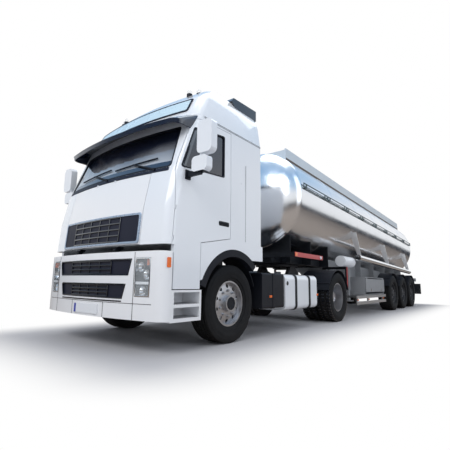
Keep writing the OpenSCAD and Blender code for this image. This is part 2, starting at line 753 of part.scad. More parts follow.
module coupling_frame() {
    color("#b3202a") difference() {
        union() {
            place() {
                box([-600, kingpin_y - 650, coupling_z + 0.5], [600, kingpin_y + 650, neck_z[0]]);
                both_sides() {
                    box([beam_x[0], 3700, neck_z[0] - 0.1], [beam_x[1], neck_rear, neck_z[1]]);
                    box([870, 3700, 1290], [930, 5000, 1380]);
                    box([beam_x[0], 6200, white_tube[1] - white_tube[2] - 61], [1020, 6260, white_tube[1] - white_tube[2] - seat_gap]);
                    box([980, 6200, 690], [1020, 6260, 1196]);
                }
                for (y = [3700, 4940]) box([-931, y, 1290], [931, y + 60, 1380]);
            }
            for (y = [3950, 4900, 5850]) saddle(y, 700, neck_z[0]);
            for (y = [4550, 6340]) place() box([-beam_x[0] - 1, y, 1200], [beam_x[0] + 1, y + 60, 1380]);
        }
        tank_room();
    }
    place() color("dimgray") bar_z(0, kingpin_y, coupling_z - 80, coupling_z + 2, kingpin_r);
}

module trailer_frame() {
    color("#8a8f94") difference() {
        union() {
            place() {
                both_sides() side_view(beam_x[0], beam_x[1]) polygon([
                    [neck_rear, neck_z[0]], [7000, beam_foot], [frame_rear, beam_foot], [frame_rear, 1140], [neck_rear, neck_z[1]]]);
                box([-1100, frame_rear, beam_foot], [1100, frame_rear + 90, 1060]);
                for (y = [7060, 8400, 9690, 10990, 12300, 13600])
                    box([-beam_x[0] - 1, y, beam_foot + 20], [beam_x[0] + 1, y + 60, 1080]);
            }
            for (y = [7100, 8450, 9750, 11060, 12370, 13500]) saddle(y, 640, 1000);
        }
        tank_room();
    }
}

module landing_legs() {
    leg_x = 750;
    place() color("#8a8f94") both_sides() {
        difference() {
            box([leg_x - 65, 6885, 620], [leg_x + 65, 7015, 1250]);
            box([leg_x - 55, 6895, 619], [leg_x + 55, 7005, 1240]);
        }
        box([leg_x - 54.8, 6895.2, 360], [leg_x + 54.8, 7004.8, 1150]);
        box([leg_x - 120, 6830, 345], [leg_x + 120, 7070, 361]);
        box([beam_x[1], 6900, 1100], [leg_x - 64, 7000, 1230]);
    }
}

// Carried by posts under the beams: columns are Y and the height of the beam's foot there.
guard_posts = [[6300, neck_z[0] - 0.1 - seat_gap], [7150, beam_foot], [8500, beam_foot]];
module side_guards() {
    place() color("silver") both_sides() {
        for (z = [300, 440]) box([half_w - 30, 6180, z], [half_w, 8700, z + 70]);
        for (p = guard_posts) {
            box([beam_x[0], p[0] - 25, 460], [beam_x[1], p[0] + 25, p[1]]);
            box([beam_x[0], p[0] - 25, 460], [half_w - 30, p[0] + 25, cabinet[4]]);
            box([half_w - 60, p[0] - 25, 300], [half_w - 29, p[0] + 25, cabinet[4]]);
        }
    }
}

module trailer_running_gear() {
    place() color("#2a2c2f") for (y = trailer_axles) translate([0, y, trailer_wheel_z]) {
        tube_end = trailer_tyre_x - 130 - 6;
        bar_x(-tube_end, tube_end, 0, 0, 63);
        bar_x(-trailer_tyre_x - 115, trailer_tyre_x + 115, 0, 0, stub_r);
        both_sides() {
            box([395, -520, 60], [485, 440, 125]);
            box([395, -520, 60], [485, -420, beam_foot - trailer_wheel_z]);
            bar_z(440, 340, 120, beam_foot - trailer_wheel_z, 110);
        }
    }
}

module trailer_mudguards() {
    r = trailer_tyre_d / 2 + 64;
    place() color("#26282b") both_sides() for (y = trailer_axles) {
        ring_part(y, trailer_wheel_z, r, r + 6, 20, 160, half_w - trailer_tyre_w, half_w);
        for (a = [46, 134])
            bar_x(beam_x[1], half_w - 10, y + (r + 4) * cos(a), trailer_wheel_z + (r + 4) * sin(a), 16);
    }
}

module rear_bumper() {
    place() color("#2a2c2f") {
        box([-half_w, overall_l - 100, 450], [half_w, overall_l, 560]);
        both_sides() {
            box([beam_x[0], 13750, 455], [beam_x[1], overall_l - 99, 555]);
            box([beam_x[0], 13750, 455], [beam_x[1], 13850, beam_foot]);
            box([950, overall_l - 60, 430], [half_w, overall_l, 840]);
        }
    }
}

module walkway_and_ladder() {
    color("#c8c9c4") on_tank() difference() {
        union() {
            both_sides() box([coaming_x[0], 60, 700], [coaming_x[1], 9600, tank_r + 45]);
            box([-coaming_x[0] - 1, 60, deck_z], [coaming_x[0] + 1, 9600, deck_z + 6]);
            for (y = [60, 3200, 6400, 9580]) box([-coaming_x[0], y, 700], [coaming_x[0], y + 20, deck_z + 1]);
        }
        tank_cut();
        box([-manhole_r - 45, manhole_y - manhole_r - 45, 0], [manhole_r + 45, manhole_y + manhole_r + 45, tank_r + 200]);
    }
    color("#8a8f94") difference() {
        place() {
            for (x = [200, 500]) {
                box([x - 14, overall_l - 50, 640], [x + 14, overall_l - 10, 3290]);
                box([x - 14, frame_rear + 90, 980], [x + 14, overall_l - 49, 1020]);
                box([x - 14, 13300, 3230], [x + 14, overall_l - 11, 3275]);
            }
            for (i = [0:8]) bar_x(190, 510, overall_l - 30, 700 + i * 300, 12);
        }
        on_tank() rotate([-90, 0, 0]) rotate_extrude($fn = 256) polygon(tank_outline(-seat_gap));
    }
}

// Eight light frames along each side of the tank, each on two brackets.
module side_rails() {
    pitch = tank_l / side_rail_n;
    color("#2f4a4d") on_tank() difference() {
        both_sides() for (i = [0:side_rail_n - 1]) translate([0, i * pitch, 0]) {
            difference() {
                box([tank_r, 20, 140], [tank_r + 16, pitch - 20, 250]);
                box([tank_r - 1, 36, 156], [tank_r + 17, pitch - 36, 234]);
            }
            for (y = [120, pitch - 160]) box([tank_r - 60, y, 150], [tank_r + 1, y + 40, 190]);
            for (y = [120, pitch - 160]) box([tank_r, y, 141], [tank_r + 15, y + 40, 249]);
        }
        tank_cut();
    }
}

module hose_tubes() {
    hose_x = 1160;
    hose_z = -980;
    color("silver") difference() {
        on_tank() both_sides() {
            bar_y(hose_x, 2830, 8630, hose_z, hose_r);
            for (y = [3000, 5700, 8500]) front_view(y, y + 16) polygon([
                [900, -300], [1075, -300], [hose_x + 40, hose_z], [hose_x - 40, hose_z]]);
        }
        tank_room();
    }
    place() color("white") both_sides() {
        bar_y(white_tube[0], 5990, 6700, white_tube[1], white_tube[2]);
    }
}

module manhole_neck() {
    on_tank() color("silver") {
        difference() {
            union() {
                bar_z(0, manhole_y, 900, tank_r + 80, manhole_r + 20);
                bar_z(0, manhole_y, tank_r + 62, tank_r + 80, manhole_r + 28);
            }
            tank_cut();
            bar_z(0, manhole_y, 899, tank_r + 81, manhole_r);
        }
        both_sides() {
            box([35, manhole_y + manhole_r + 16, tank_r + 62], [55, lid_y + 14, tank_r + 80]);
            box([35, manhole_y + manhole_r + 31, tank_r + 79], [55, lid_y + 14, lid_z + 14]);
        }
        bar_x(-54, 54, lid_y, lid_z, 8);
    }
}

module manhole_lid() {
    on_tank() color("silver") {
        bar_z(0, manhole_y, tank_r + 80 + seat_gap, tank_r + 98, manhole_r + 28);
        difference() {
            union() {
                bar_x(-28, 28, lid_y, lid_z, 18);
                box([-28, manhole_y + manhole_r - 20, tank_r + 88], [28, lid_y, tank_r + 104]);
            }
            bar_x(-29, 29, lid_y, lid_z, 8 + bearing_gap);
        }
    }
}

module discharge_pipe() {
    pipe_z = 800;
    pipe_y = 13380;
    flange_y = 13975;
    outer_r = outlet_r + 10;
    flange_r = outlet_pcd / 2 + outlet_hole_r + 15;
    color("silver") difference() {
        union() {
            place() {
                bar_z(0, pipe_y, pipe_z - outer_r - 12, 1300, outer_r + 8);
                bar_y(0, pipe_y, flange_y, pipe_z, outer_r);
                bar_y(0, flange_y - 20, flange_y, pipe_z, flange_r);
                bar_y(0, pipe_y + 180, pipe_y + 330, pipe_z, 85);
                bar_z(0, pipe_y + 255, pipe_z, pipe_z + 118, 18);
            }
        }
        tank_room();
        place() {
            bar_y(0, pipe_y + 340, flange_y + 1, pipe_z, outlet_r);
            for (i = [0:7]) let (a = 22.5 + 45 * i)
                bar_y(outlet_pcd / 2 * cos(a), flange_y - 21, flange_y + 1,
                      pipe_z + outlet_pcd / 2 * sin(a), outlet_hole_r);
        }
    }
}

module cabinet_body() {
    c = cabinet;
    w = cabinet_wall;
    place() color("#7f8488") {
        difference() {
            box([c[0], c[2], c[4]], [c[1], c[3], c[5]]);
            box([c[0] + w, c[2] + w, c[4] + w], [c[1] + 1, c[3] - w, c[5] - w]);
            for (y = [c[2] + w + 40, c[3] - w - 140]) bar_y(c[1] + 4, y + 20, y + 80, c[5] - 27, 13);
        }
        // Hinge pins of the door, on ears at the cabinet's ends
        for (y = [c[2] + w + 40, c[3] - w - 140]) {
            box([c[1] - 30, y, c[5] - 40], [c[1] + 14, y + 20, c[5] - 14]);
            box([c[1] - 30, y + 80, c[5] - 40], [c[1] + 14, y + 100, c[5] - 14]);
            bar_y(c[1] + 4, y + 1, y + 99, c[5] - 27, 5);
            for (e = [0, 80]) box([c[1] - 31, y + e, c[5] - 41], [c[1] - 5, y + e + 20, c[5] - w + 1]);
        }
    }
}

module cabinet_door() {
    c = cabinet;
    w = cabinet_wall;
    place() color("#8c9196") {
        box([c[1] + 5, c[2] + 10, 580], [c[1] + 20, c[3] - 10, c[5] - 45]);
        for (y = [c[2] + w + 40, c[3] - w - 140]) difference() {
            union() {
                bar_y(c[1] + 4, y + 21, y + 79, c[5] - 27, 11);
                box([c[1] + 5, y + 21, c[5] - 60], [c[1] + 15, y + 79, c[5] - 27]);
            }
            bar_y(c[1] + 4, y + 20, y + 80, c[5] - 27, 5 + bearing_gap);
        }
    }
}

// ---------------------------------------------------------------- what is drawn
tractor_frame();
engine();
front_axle();
drive_axle();
tractor_suspension();
front_bumper();
lower_grilles();
headlamps();
tractor_mudguards();
fuel_tanks();
side_boxes();
fifth_wheel();
cab_shell();
cab_tilt_lugs();
roof_cap();
sun_visor();
windscreen();
roof_spoiler();
wheel_arch_lips();
seats();
dashboard();
front_flap();
door(1);  // door_left
door(-1);  // door_right
door_glass(1);  // door_glass_left
door_glass(-1);  // door_glass_right
mirror_set(1);  // mirror_left
mirror_set(-1);  // mirror_right
knuckle(1);  // knuckle_left
knuckle(-1);  // knuckle_right
tyre_front(1);  // tyre_front_left
tyre_front(-1);  // tyre_front_right
rim_front(1);  // rim_front_left
rim_front(-1);  // rim_front_right
tyres_drive(1);  // tyres_drive_left
tyres_drive(-1);  // tyres_drive_right
rims_drive(1);  // rims_drive_left
rims_drive(-1);  // rims_drive_right
tank_barrel();
manhole_neck();
manhole_lid();
walkway_and_ladder();
side_rails();
hose_tubes();
coupling_frame();
trailer_frame();
landing_legs();
side_guards();
trailer_running_gear();
trailer_mudguards();
rear_bumper();
discharge_pipe();
cabinet_body();
cabinet_door();
trailer_wheel(1, 1);  // trailer_wheel_left_1
trailer_wheel(1, 2);  // trailer_wheel_left_2
trailer_wheel(1, 3);  // trailer_wheel_left_3
trailer_wheel(-1, 1);  // trailer_wheel_right_1
trailer_wheel(-1, 2);  // trailer_wheel_right_2
trailer_wheel(-1, 3);  // trailer_wheel_right_3
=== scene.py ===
# %% [markdown]
# # An articulated tanker lorry
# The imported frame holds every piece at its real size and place. This script gives those pieces their
# finishes, swaps the pressed and moulded skins for smoother ones, and adds what is too fine for the frame.
# Lengths are in metres; X points to the lorry's left, Y runs back along it and Z is up.

# %% The frame
import json
import math
import bmesh
import bpy
from mathutils import Matrix, Vector

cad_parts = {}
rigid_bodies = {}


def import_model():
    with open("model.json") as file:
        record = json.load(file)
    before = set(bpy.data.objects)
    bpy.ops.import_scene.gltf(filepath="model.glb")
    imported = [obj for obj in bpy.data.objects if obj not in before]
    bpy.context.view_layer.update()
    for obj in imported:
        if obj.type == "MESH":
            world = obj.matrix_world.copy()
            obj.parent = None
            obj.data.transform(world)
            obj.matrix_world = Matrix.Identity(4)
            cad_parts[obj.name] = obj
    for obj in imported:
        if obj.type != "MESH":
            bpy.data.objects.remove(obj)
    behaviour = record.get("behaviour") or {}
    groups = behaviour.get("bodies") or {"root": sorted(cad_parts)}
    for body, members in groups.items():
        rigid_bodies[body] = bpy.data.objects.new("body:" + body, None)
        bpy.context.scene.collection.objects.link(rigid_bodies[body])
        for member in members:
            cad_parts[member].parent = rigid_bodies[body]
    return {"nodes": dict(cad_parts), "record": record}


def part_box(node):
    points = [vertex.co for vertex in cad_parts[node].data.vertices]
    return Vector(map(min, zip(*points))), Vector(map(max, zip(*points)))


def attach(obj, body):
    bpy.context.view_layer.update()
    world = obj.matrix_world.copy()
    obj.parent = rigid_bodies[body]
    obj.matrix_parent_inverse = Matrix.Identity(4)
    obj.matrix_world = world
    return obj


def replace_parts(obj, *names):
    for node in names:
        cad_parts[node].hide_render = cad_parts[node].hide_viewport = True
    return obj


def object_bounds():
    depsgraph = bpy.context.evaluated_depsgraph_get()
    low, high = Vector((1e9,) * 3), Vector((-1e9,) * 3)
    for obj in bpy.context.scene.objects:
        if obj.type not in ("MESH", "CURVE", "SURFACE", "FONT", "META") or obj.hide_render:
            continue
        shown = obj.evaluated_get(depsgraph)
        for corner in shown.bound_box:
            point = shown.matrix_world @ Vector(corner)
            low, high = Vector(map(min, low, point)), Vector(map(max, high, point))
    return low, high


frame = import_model()
cad_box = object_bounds()
NODES = frame["nodes"]
FRONT = cad_box[0].y                # the number plate's face


def back(y):
    """A distance behind the lorry's front as a place on the Y axis."""
    return FRONT + y


print("frame from", cad_box[0], "to", cad_box[1])

# %% [markdown]
# ## The camera
# The lorry is seen from low down, ahead of its front left corner, through a wide lens that makes the
# tank run away quickly. A camera's own axes are its right, its up and the reverse of its view, so the
# three directions are worked out from yaw, pitch and roll and become the columns of its matrix.

# %% Camera
YAW = math.radians(38.73)
PITCH = math.radians(9.28)
ROLL = math.radians(0.87)
view_dir = Vector((-math.sin(YAW) * math.cos(PITCH), math.cos(YAW) * math.cos(PITCH), math.sin(PITCH)))
level_right = view_dir.cross(Vector((0, 0, 1))).normalized()
level_up = level_right.cross(view_dir)
cam_right = level_right * math.cos(ROLL) + level_up * math.sin(ROLL)
cam_up = level_up * math.cos(ROLL) - level_right * math.sin(ROLL)
camera_data = bpy.data.cameras.new("camera")
camera_data.lens = 28.03
camera_data.sensor_width = 36.0
camera_data.clip_end = 200.0
camera = bpy.data.objects.new("camera", camera_data)
bpy.context.scene.collection.objects.link(camera)
camera.matrix_world = Matrix.Translation((4.072, back(-2.368), 0.782)) @ Matrix(
    (cam_right, cam_up, -view_dir)).transposed().to_4x4()
bpy.context.scene.camera = camera
print("camera at", camera.matrix_world.translation)

# %% [markdown]
# ## Light and floor
# Plain soft studio light: an even pale world, one broad lamp from above and ahead, and weaker ones from
# the side and above. The floor and the world look white to the camera. To mirrors the floor is a warm
# grey and the world is a sky over a dark horizon, which gives the steel something to show, and the floor
# still takes the lorry's shadow close to it.

# %% Light and floor
bpy.context.scene.view_settings.view_transform = "Standard"


def node_tree(owner):
    """An empty node tree on a material or a world."""
    owner.use_nodes = True
    owner.node_tree.nodes.clear()
    return owner.node_tree


def add(tree, kind, **values):
    """A node with some of its sockets or settings filled in."""
    node = tree.nodes.new("ShaderNode" + kind)
    for key, value in values.items():
        if key in node.inputs:
            node.inputs[key].default_value = value
        else:
            setattr(node, key, value)
    return node


def fill(tree, socket, value):
    """A plain value is set on a socket, and another node's output is linked to it."""
    if isinstance(value, (int, float, tuple)):
        socket.default_value = value
    else:
        tree.links.new(value, socket)


def mix_colour(tree, factor, a, b, blend="MIX"):
    node = add(tree, "Mix", data_type="RGBA", blend_type=blend)
    for socket, value in ((node.inputs[0], factor), (node.inputs[6], a), (node.inputs[7], b)):
        fill(tree, socket, value)
    return node.outputs[2]


def mix_shader(tree, factor, a, b):
    node = add(tree, "MixShader")
    for socket, value in zip(node.inputs, (factor, a.outputs[0], b.outputs[0])):
        fill(tree, socket, value)
    return node


def maths(tree, operation, *values):
    """The output of a Math node on up to three values or sockets."""
    node = add(tree, "Math", operation=operation)
    for socket, value in zip(node.inputs, values):
        fill(tree, socket, value)
    return node.outputs[0]


def area_lamp(name, place, target, size, power, colour=(1, 1, 1)):
    data = bpy.data.lights.new(name, "AREA")
    data.shape = "RECTANGLE"
    data.size, data.size_y = size
    data.energy = power
    data.color = colour
    lamp = bpy.data.objects.new(name, data)
    lamp.location = place
    lamp.rotation_euler = (Vector(target) - Vector(place)).to_track_quat("-Z", "Y").to_euler()
    bpy.context.scene.collection.objects.link(lamp)


WORLD_LIGHT = (0.86, 0.90, 0.97, 1)
WORLD_STRENGTH = 0.62
SKY = ((0.0, (0.035, 0.04, 0.05, 1)), (0.035, (0.06, 0.07, 0.085, 1)), (0.07, (0.92, 0.94, 0.96, 1)),
       (0.30, (0.95, 0.97, 1.0, 1)), (0.50, (0.42, 0.62, 0.86, 1)), (0.75, (0.30, 0.50, 0.78, 1)),
       (1.0, (0.62, 0.78, 0.95, 1)))    # (height of the direction, colour)
world = bpy.data.worlds.new("studio")
bpy.context.scene.world = world
tree = node_tree(world)
rays = add(tree, "LightPath")
heading = add(tree, "TexCoord")
parts = add(tree, "SeparateXYZ")
tree.links.new(heading.outputs["Generated"], parts.inputs[0])
sky = add(tree, "ValToRGB")
stops = sky.color_ramp.elements
stops[0].color, stops[1].color = SKY[0][1], SKY[-1][1]
for stop, colour in SKY[1:-1]:
    stops.new(stop).color = colour
tree.links.new(parts.outputs["Z"], sky.inputs["Fac"])
even = add(tree, "Background", Color=WORLD_LIGHT, Strength=WORLD_STRENGTH)
white = add(tree, "Background", Color=(1, 1, 1, 1), Strength=1.0)
mirrored = add(tree, "Background", Strength=1.0)
tree.links.new(sky.outputs["Color"], mirrored.inputs["Color"])
shiny = mix_shader(tree, rays.outputs["Is Glossy Ray"], even, mirrored)
seen = mix_shader(tree, rays.outputs["Is Camera Ray"], shiny, white)
tree.links.new(seen.outputs[0], add(tree, "OutputWorld").inputs["Surface"])

area_lamp("key", (2.5, back(-9), 10), (0, back(2), 1.6), (9, 6), 800)
area_lamp("fill", (14, back(4), 8), (0, back(6), 1.5), (10, 14), 480, (0.90, 0.95, 1.0))
area_lamp("top", (0, back(8), 13), (0, back(8), 0), (8, 16), 620)

FLOOR_REACH = 60.0
FLOOR_GREY = (0.50, 0.50, 0.52, 1)
FLOOR_MIRRORED = (0.36, 0.31, 0.27, 1)
SHADOW_BOX = (("X", 1.3), ("Y", 7.1))   # half the footprint that keeps its full shadow
SHADOW_REACH = 1.2                      # the shadow has faded to white this far outside it
floor_mesh = bpy.data.meshes.new("floor")
corners = [(x * FLOOR_REACH, y * FLOOR_REACH, 0) for x, y in ((-1, -1), (1, -1), (1, 1), (-1, 1))]
floor_mesh.from_pydata(corners, [], [(0, 1, 2, 3)])
floor = bpy.data.objects.new("floor", floor_mesh)
bpy.context.scene.collection.objects.link(floor)
floor_paint = bpy.data.materials.new("floor_paint")
tree = node_tree(floor_paint)
rays = add(tree, "LightPath")
spot = add(tree, "NewGeometry")
parts = add(tree, "SeparateXYZ")
tree.links.new(spot.outputs["Position"], parts.inputs[0])
joined = add(tree, "CombineXYZ")
for axis, reach in SHADOW_BOX:
    past = maths(tree, "SUBTRACT", maths(tree, "ABSOLUTE", parts.outputs[axis]), reach)
    tree.links.new(maths(tree, "MAXIMUM", past, 0.0), joined.inputs[axis])
away = add(tree, "VectorMath", operation="LENGTH")
tree.links.new(joined.outputs[0], away.inputs[0])
fade = add(tree, "MapRange", interpolation_type="SMOOTHSTEP")
fade.inputs["From Min"].default_value = 0.0
fade.inputs["From Max"].default_value = SHADOW_REACH
tree.links.new(away.outputs["Value"], fade.inputs["Value"])
matt = add(tree, "BsdfDiffuse")
floor_colour = mix_colour(tree, rays.outputs["Is Glossy Ray"], FLOOR_GREY, FLOOR_MIRRORED)
tree.links.new(floor_colour, matt.inputs["Color"])
paper = add(tree, "Emission")
both = mix_shader(tree, maths(tree, "MULTIPLY", fade.outputs[0], rays.outputs["Is Camera Ray"]), matt, paper)
tree.links.new(both.outputs[0], add(tree, "OutputMaterial").inputs["Surface"])
floor_mesh.materials.append(floor_paint)
print("lamps and floor made")

# %% [markdown]
# ## Shared effects
# Paint, steel and plastic all need the same three things: a little mottle so that no face is one flat
# colour, road dust that fades with height, and fine streaks on rolled metal. Each is a node group with
# named inputs, so that a material places it with its own values.

# %% Node groups
def group(name, inputs, outputs):
    """A shader node group with float and colour sockets; inputs are (name, kind, default)."""
    g = bpy.data.node_groups.new(name, "ShaderNodeTree")
    for label, kind, value in inputs:
        socket = g.interface.new_socket(label, in_out="INPUT", socket_type="NodeSocket" + kind)
        socket.default_value = value
    for label, kind in outputs:
        g.interface.new_socket(label, in_out="OUTPUT", socket_type="NodeSocket" + kind)
    return g, g.nodes.new("NodeGroupInput"), g.nodes.new("NodeGroupOutput")


mottle, g_in, g_out = group("mottle", (("Colour", "Color", (0.8, 0.8, 0.8, 1)), ("Strength", "Float", 0.1),
                                       ("Scale", "Float", 6.0)), (("Colour", "Color"), ("Mask", "Float")))
place = add(mottle, "NewGeometry")
cloud = add(mottle, "TexNoise", Detail=5.0, Roughness=0.6)
mottle.links.new(place.outputs["Position"], cloud.inputs["Vector"])
mottle.links.new(g_in.outputs["Scale"], cloud.inputs["Scale"])
darker = mix_colour(mottle, 1.0, g_in.outputs["Colour"], (0.62, 0.62, 0.64, 1), "MULTIPLY")
weight = maths(mottle, "MULTIPLY", cloud.outputs["Fac"], g_in.outputs["Strength"])
mottle.links.new(mix_colour(mottle, weight, g_in.outputs["Colour"], darker), g_out.inputs["Colour"])
mottle.links.new(cloud.outputs["Fac"], g_out.inputs["Mask"])

DUST_COLOUR = (0.20, 0.185, 0.17, 1)
dust, g_in, g_out = group("road_dust", (("Colour", "Color", (0.8, 0.8, 0.8, 1)), ("Amount", "Float", 0.3),
                                        ("Height", "Float", 0.9)), (("Colour", "Color"), ("Mask", "Float")))
place = add(dust, "NewGeometry")
axes = add(dust, "SeparateXYZ")
dust.links.new(place.outputs["Position"], axes.inputs[0])
fade = add(dust, "MapRange")
fade.inputs["From Min"].default_value = 0.0
fade.inputs["To Min"].default_value = 1.0
fade.inputs["To Max"].default_value = 0.0
dust.links.new(axes.outputs["Z"], fade.inputs["Value"])
dust.links.new(g_in.outputs["Height"], fade.inputs["From Max"])
speck = add(dust, "TexNoise", Scale=9.0, Detail=6.0, Roughness=0.7)
dust.links.new(place.outputs["Position"], speck.inputs["Vector"])
amount = maths(dust, "MULTIPLY", maths(dust, "MULTIPLY", fade.outputs[0], speck.outputs["Fac"]),
               g_in.outputs["Amount"])
dust.links.new(mix_colour(dust, amount, g_in.outputs["Colour"], DUST_COLOUR), g_out.inputs["Colour"])
dust.links.new(amount, g_out.inputs["Mask"])

streaks, g_in, g_out = group("streaks", (("Across", "Float", 90.0), ("Along", "Float", 1.5)),
                             (("Mask", "Float"),))
place = add(streaks, "NewGeometry")
axes = add(streaks, "SeparateXYZ")
streaks.links.new(place.outputs["Position"], axes.inputs[0])
packed = add(streaks, "CombineXYZ")
for axis, source in (("X", "Across"), ("Y", "Along"), ("Z", "Across")):
    scaled = maths(streaks, "MULTIPLY", axes.outputs[axis], g_in.outputs[source])
    streaks.links.new(scaled, packed.inputs[axis])
lines = add(streaks, "TexNoise", Scale=1.0, Detail=3.0)
streaks.links.new(packed.outputs[0], lines.inputs["Vector"])
streaks.links.new(lines.outputs["Fac"], g_out.inputs["Mask"])
print("node groups:", [g.name for g in bpy.data.node_groups])

# %% [markdown]
# ## Finishes
# One function builds every opaque finish: a colour that goes through mottle and dust, a roughness that
# follows the mottle, and a fine bump. What is special to a finish, such as the coat on the cab's paint,
# is set on the shader itself.

# %% Finishes
def finish(name, colour, rough=0.5, metal=0.0, mottled=0.15, mottle_scale=5.0, dusty=0.3, dust_top=0.9,
           bump=0.0, bump_scale=300.0, rough_spread=0.1, coat=0.0, streaky=0.0):
    mat = bpy.data.materials.new(name)
    t = node_tree(mat)
    shader = add(t, "BsdfPrincipled")
    shader.inputs["Metallic"].default_value = metal
    shader.inputs["Specular IOR Level"].default_value = 0.25 if max(colour) < 0.05 and not coat else 0.5
    shader.inputs["Coat Weight"].default_value = coat
    shader.inputs["Coat Roughness"].default_value = 0.04
    cloud = t.nodes.new("ShaderNodeGroup")
    cloud.node_tree = mottle
    cloud.inputs["Colour"].default_value = (*colour, 1)
    cloud.inputs["Strength"].default_value = mottled
    cloud.inputs["Scale"].default_value = mottle_scale
    grime = t.nodes.new("ShaderNodeGroup")
    grime.node_tree = dust
    grime.inputs["Amount"].default_value = dusty
    grime.inputs["Height"].default_value = dust_top
    t.links.new(cloud.outputs["Colour"], grime.inputs["Colour"])
    t.links.new(grime.outputs["Colour"], shader.inputs["Base Color"])
    spread = add(t, "MapRange")
    spread.inputs["To Min"].default_value = rough - rough_spread / 2
    spread.inputs["To Max"].default_value = rough + rough_spread
    source = cloud.outputs["Mask"]
    if streaky:
        lines = t.nodes.new("ShaderNodeGroup")
        lines.node_tree = streaks
        lines.inputs["Across"].default_value = streaky
        source = lines.outputs["Mask"]
    t.links.new(source, spread.inputs["Value"])
    t.links.new(spread.outputs[0], shader.inputs["Roughness"])
    if bump:
        where = add(t, "NewGeometry")
        grain = add(t, "TexNoise", Scale=bump_scale, Detail=3.0)
        t.links.new(where.outputs["Position"], grain.inputs["Vector"])
        raised = add(t, "Bump")
        raised.inputs["Strength"].default_value = bump
        raised.inputs["Distance"].default_value = 0.002
        t.links.new(grain.outputs["Fac"], raised.inputs["Height"])
        t.links.new(raised.outputs["Normal"], shader.inputs["Normal"])
    t.links.new(shader.outputs[0], add(t, "OutputMaterial").inputs["Surface"])
    return mat


FINISHES = {
    # The white paint comes in two copies: the front's copy is lighter and less blue as painted light, and the
    # cab's copy, used everywhere else, is cooler grey-blue as painted shade.
    "cab_paint": ((0.82, 0.85, 0.89), dict(rough=0.28, mottled=0.04, dusty=0.12, coat=0.9)),
    "front_paint_lit": ((0.86, 0.87, 0.89), dict(rough=0.28, mottled=0.03, dusty=0.12, coat=0.9)),
    "black_plastic": ((0.006, 0.008, 0.014), dict(rough=0.5, mottled=0.3, bump=0.25, dusty=0.12)),
    "gloss_black": ((0.004, 0.006, 0.012), dict(rough=0.12, mottled=0.2, dusty=0.05, coat=0.7)),
    "visor_navy": ((0.005, 0.016, 0.042), dict(rough=0.2, mottled=0.1, dusty=0.0, coat=0.8)),
    "slate_plastic": ((0.009, 0.011, 0.026), dict(rough=0.45, mottled=0.3, bump=0.15, dusty=0.05)),
    "chassis_paint": ((0.008, 0.010, 0.014), dict(rough=0.5, mottled=0.5, dusty=0.22, bump=0.2,
        bump_scale=90)),
    "red_paint": ((0.52, 0.015, 0.02), dict(rough=0.35, mottled=0.35, dusty=0.2, dust_top=2, coat=0.4)),
    "grey_paint": ((0.30, 0.31, 0.325), dict(rough=0.45, mottled=0.3, dusty=0.4, dust_top=1.3)),
    "rail_paint": ((0.02, 0.055, 0.065), dict(rough=0.35, mottled=0.3, dusty=0.0)),
    "bare_aluminium": ((0.66, 0.67, 0.69), dict(rough=0.32, metal=1.0, mottled=0.3, dusty=0.3, streaky=60)),
    "pale_walkway": ((0.62, 0.68, 0.73), dict(rough=0.4, metal=0.6, mottled=0.4, mottle_scale=2.0,
        dusty=0.0, streaky=25)),
    "wheel_silver": ((0.58, 0.58, 0.60), dict(rough=0.32, metal=0.85, mottled=0.5, mottle_scale=14.0,
        dusty=0.5, dust_top=1.1, bump=0.15, bump_scale=120)),
    "wheel_dark": ((0.07, 0.072, 0.08), dict(rough=0.45, metal=0.3, mottled=0.5, mottle_scale=14.0,
        dusty=0.4, dust_top=1.1)),
    "cast_metal": ((0.06, 0.06, 0.065), dict(rough=0.6, metal=0.4, mottled=0.6, mottle_scale=12.0,
        dusty=0.4, bump=0.5, bump_scale=60)),
    "tyre_rubber": ((0.004, 0.0045, 0.006), dict(rough=0.72, mottled=0.4, mottle_scale=10.0, dusty=0.08,
        dust_top=1.0, bump=0.3, bump_scale=150)),
    "chrome": ((0.86, 0.87, 0.88), dict(rough=0.08, metal=1.0, mottled=0.05, dusty=0.0, rough_spread=0.04)),
    "amber": ((0.85, 0.16, 0.02), dict(rough=0.2, mottled=0.1, dusty=0.0, coat=0.6)),
    "red_lens": ((0.5, 0.01, 0.012), dict(rough=0.18, mottled=0.1, dusty=0.0, coat=0.6)),
    "white_plate": ((0.80, 0.82, 0.85), dict(rough=0.35, mottled=0.05, dusty=0.1)),
    "blue_band": ((0.01, 0.03, 0.35), dict(rough=0.35, mottled=0.05, dusty=0.0)),
    "seat_fabric": ((0.06, 0.065, 0.08), dict(rough=0.85, mottled=0.4, mottle_scale=40.0, dusty=0.0,
        bump=0.6, bump_scale=700)),
    "sign_blue": ((0.60, 0.77, 0.86), dict(rough=0.25, mottled=0.08, dusty=0.0, coat=0.5)),
}
MAT = {name: finish(name, colour, **values) for name, (colour, values) in FINISHES.items()}


def glass(name, tint, rough, alpha):
    """Coloured glass: the tint is the shader's own colour, and how much shows through is its alpha."""
    mat = bpy.data.materials.new(name)
    t = node_tree(mat)
    shader = add(t, "BsdfPrincipled")
    shader.inputs["Base Color"].default_value = (*tint, 1)
    shader.inputs["Roughness"].default_value = rough
    shader.inputs["Alpha"].default_value = alpha
    shader.inputs["IOR"].default_value = 1.5
    shader.inputs["Coat Weight"].default_value = 1.0
    shader.inputs["Coat Roughness"].default_value = 0.02
    t.links.new(shader.outputs[0], add(t, "OutputMaterial").inputs["Surface"])
    return mat


# The windscreen's ground reflection is painted into its colour; this is how far, in metres, its edge wanders.
WAVINESS = 0.45    # how far, in metres, the edge of the reflected ground wanders


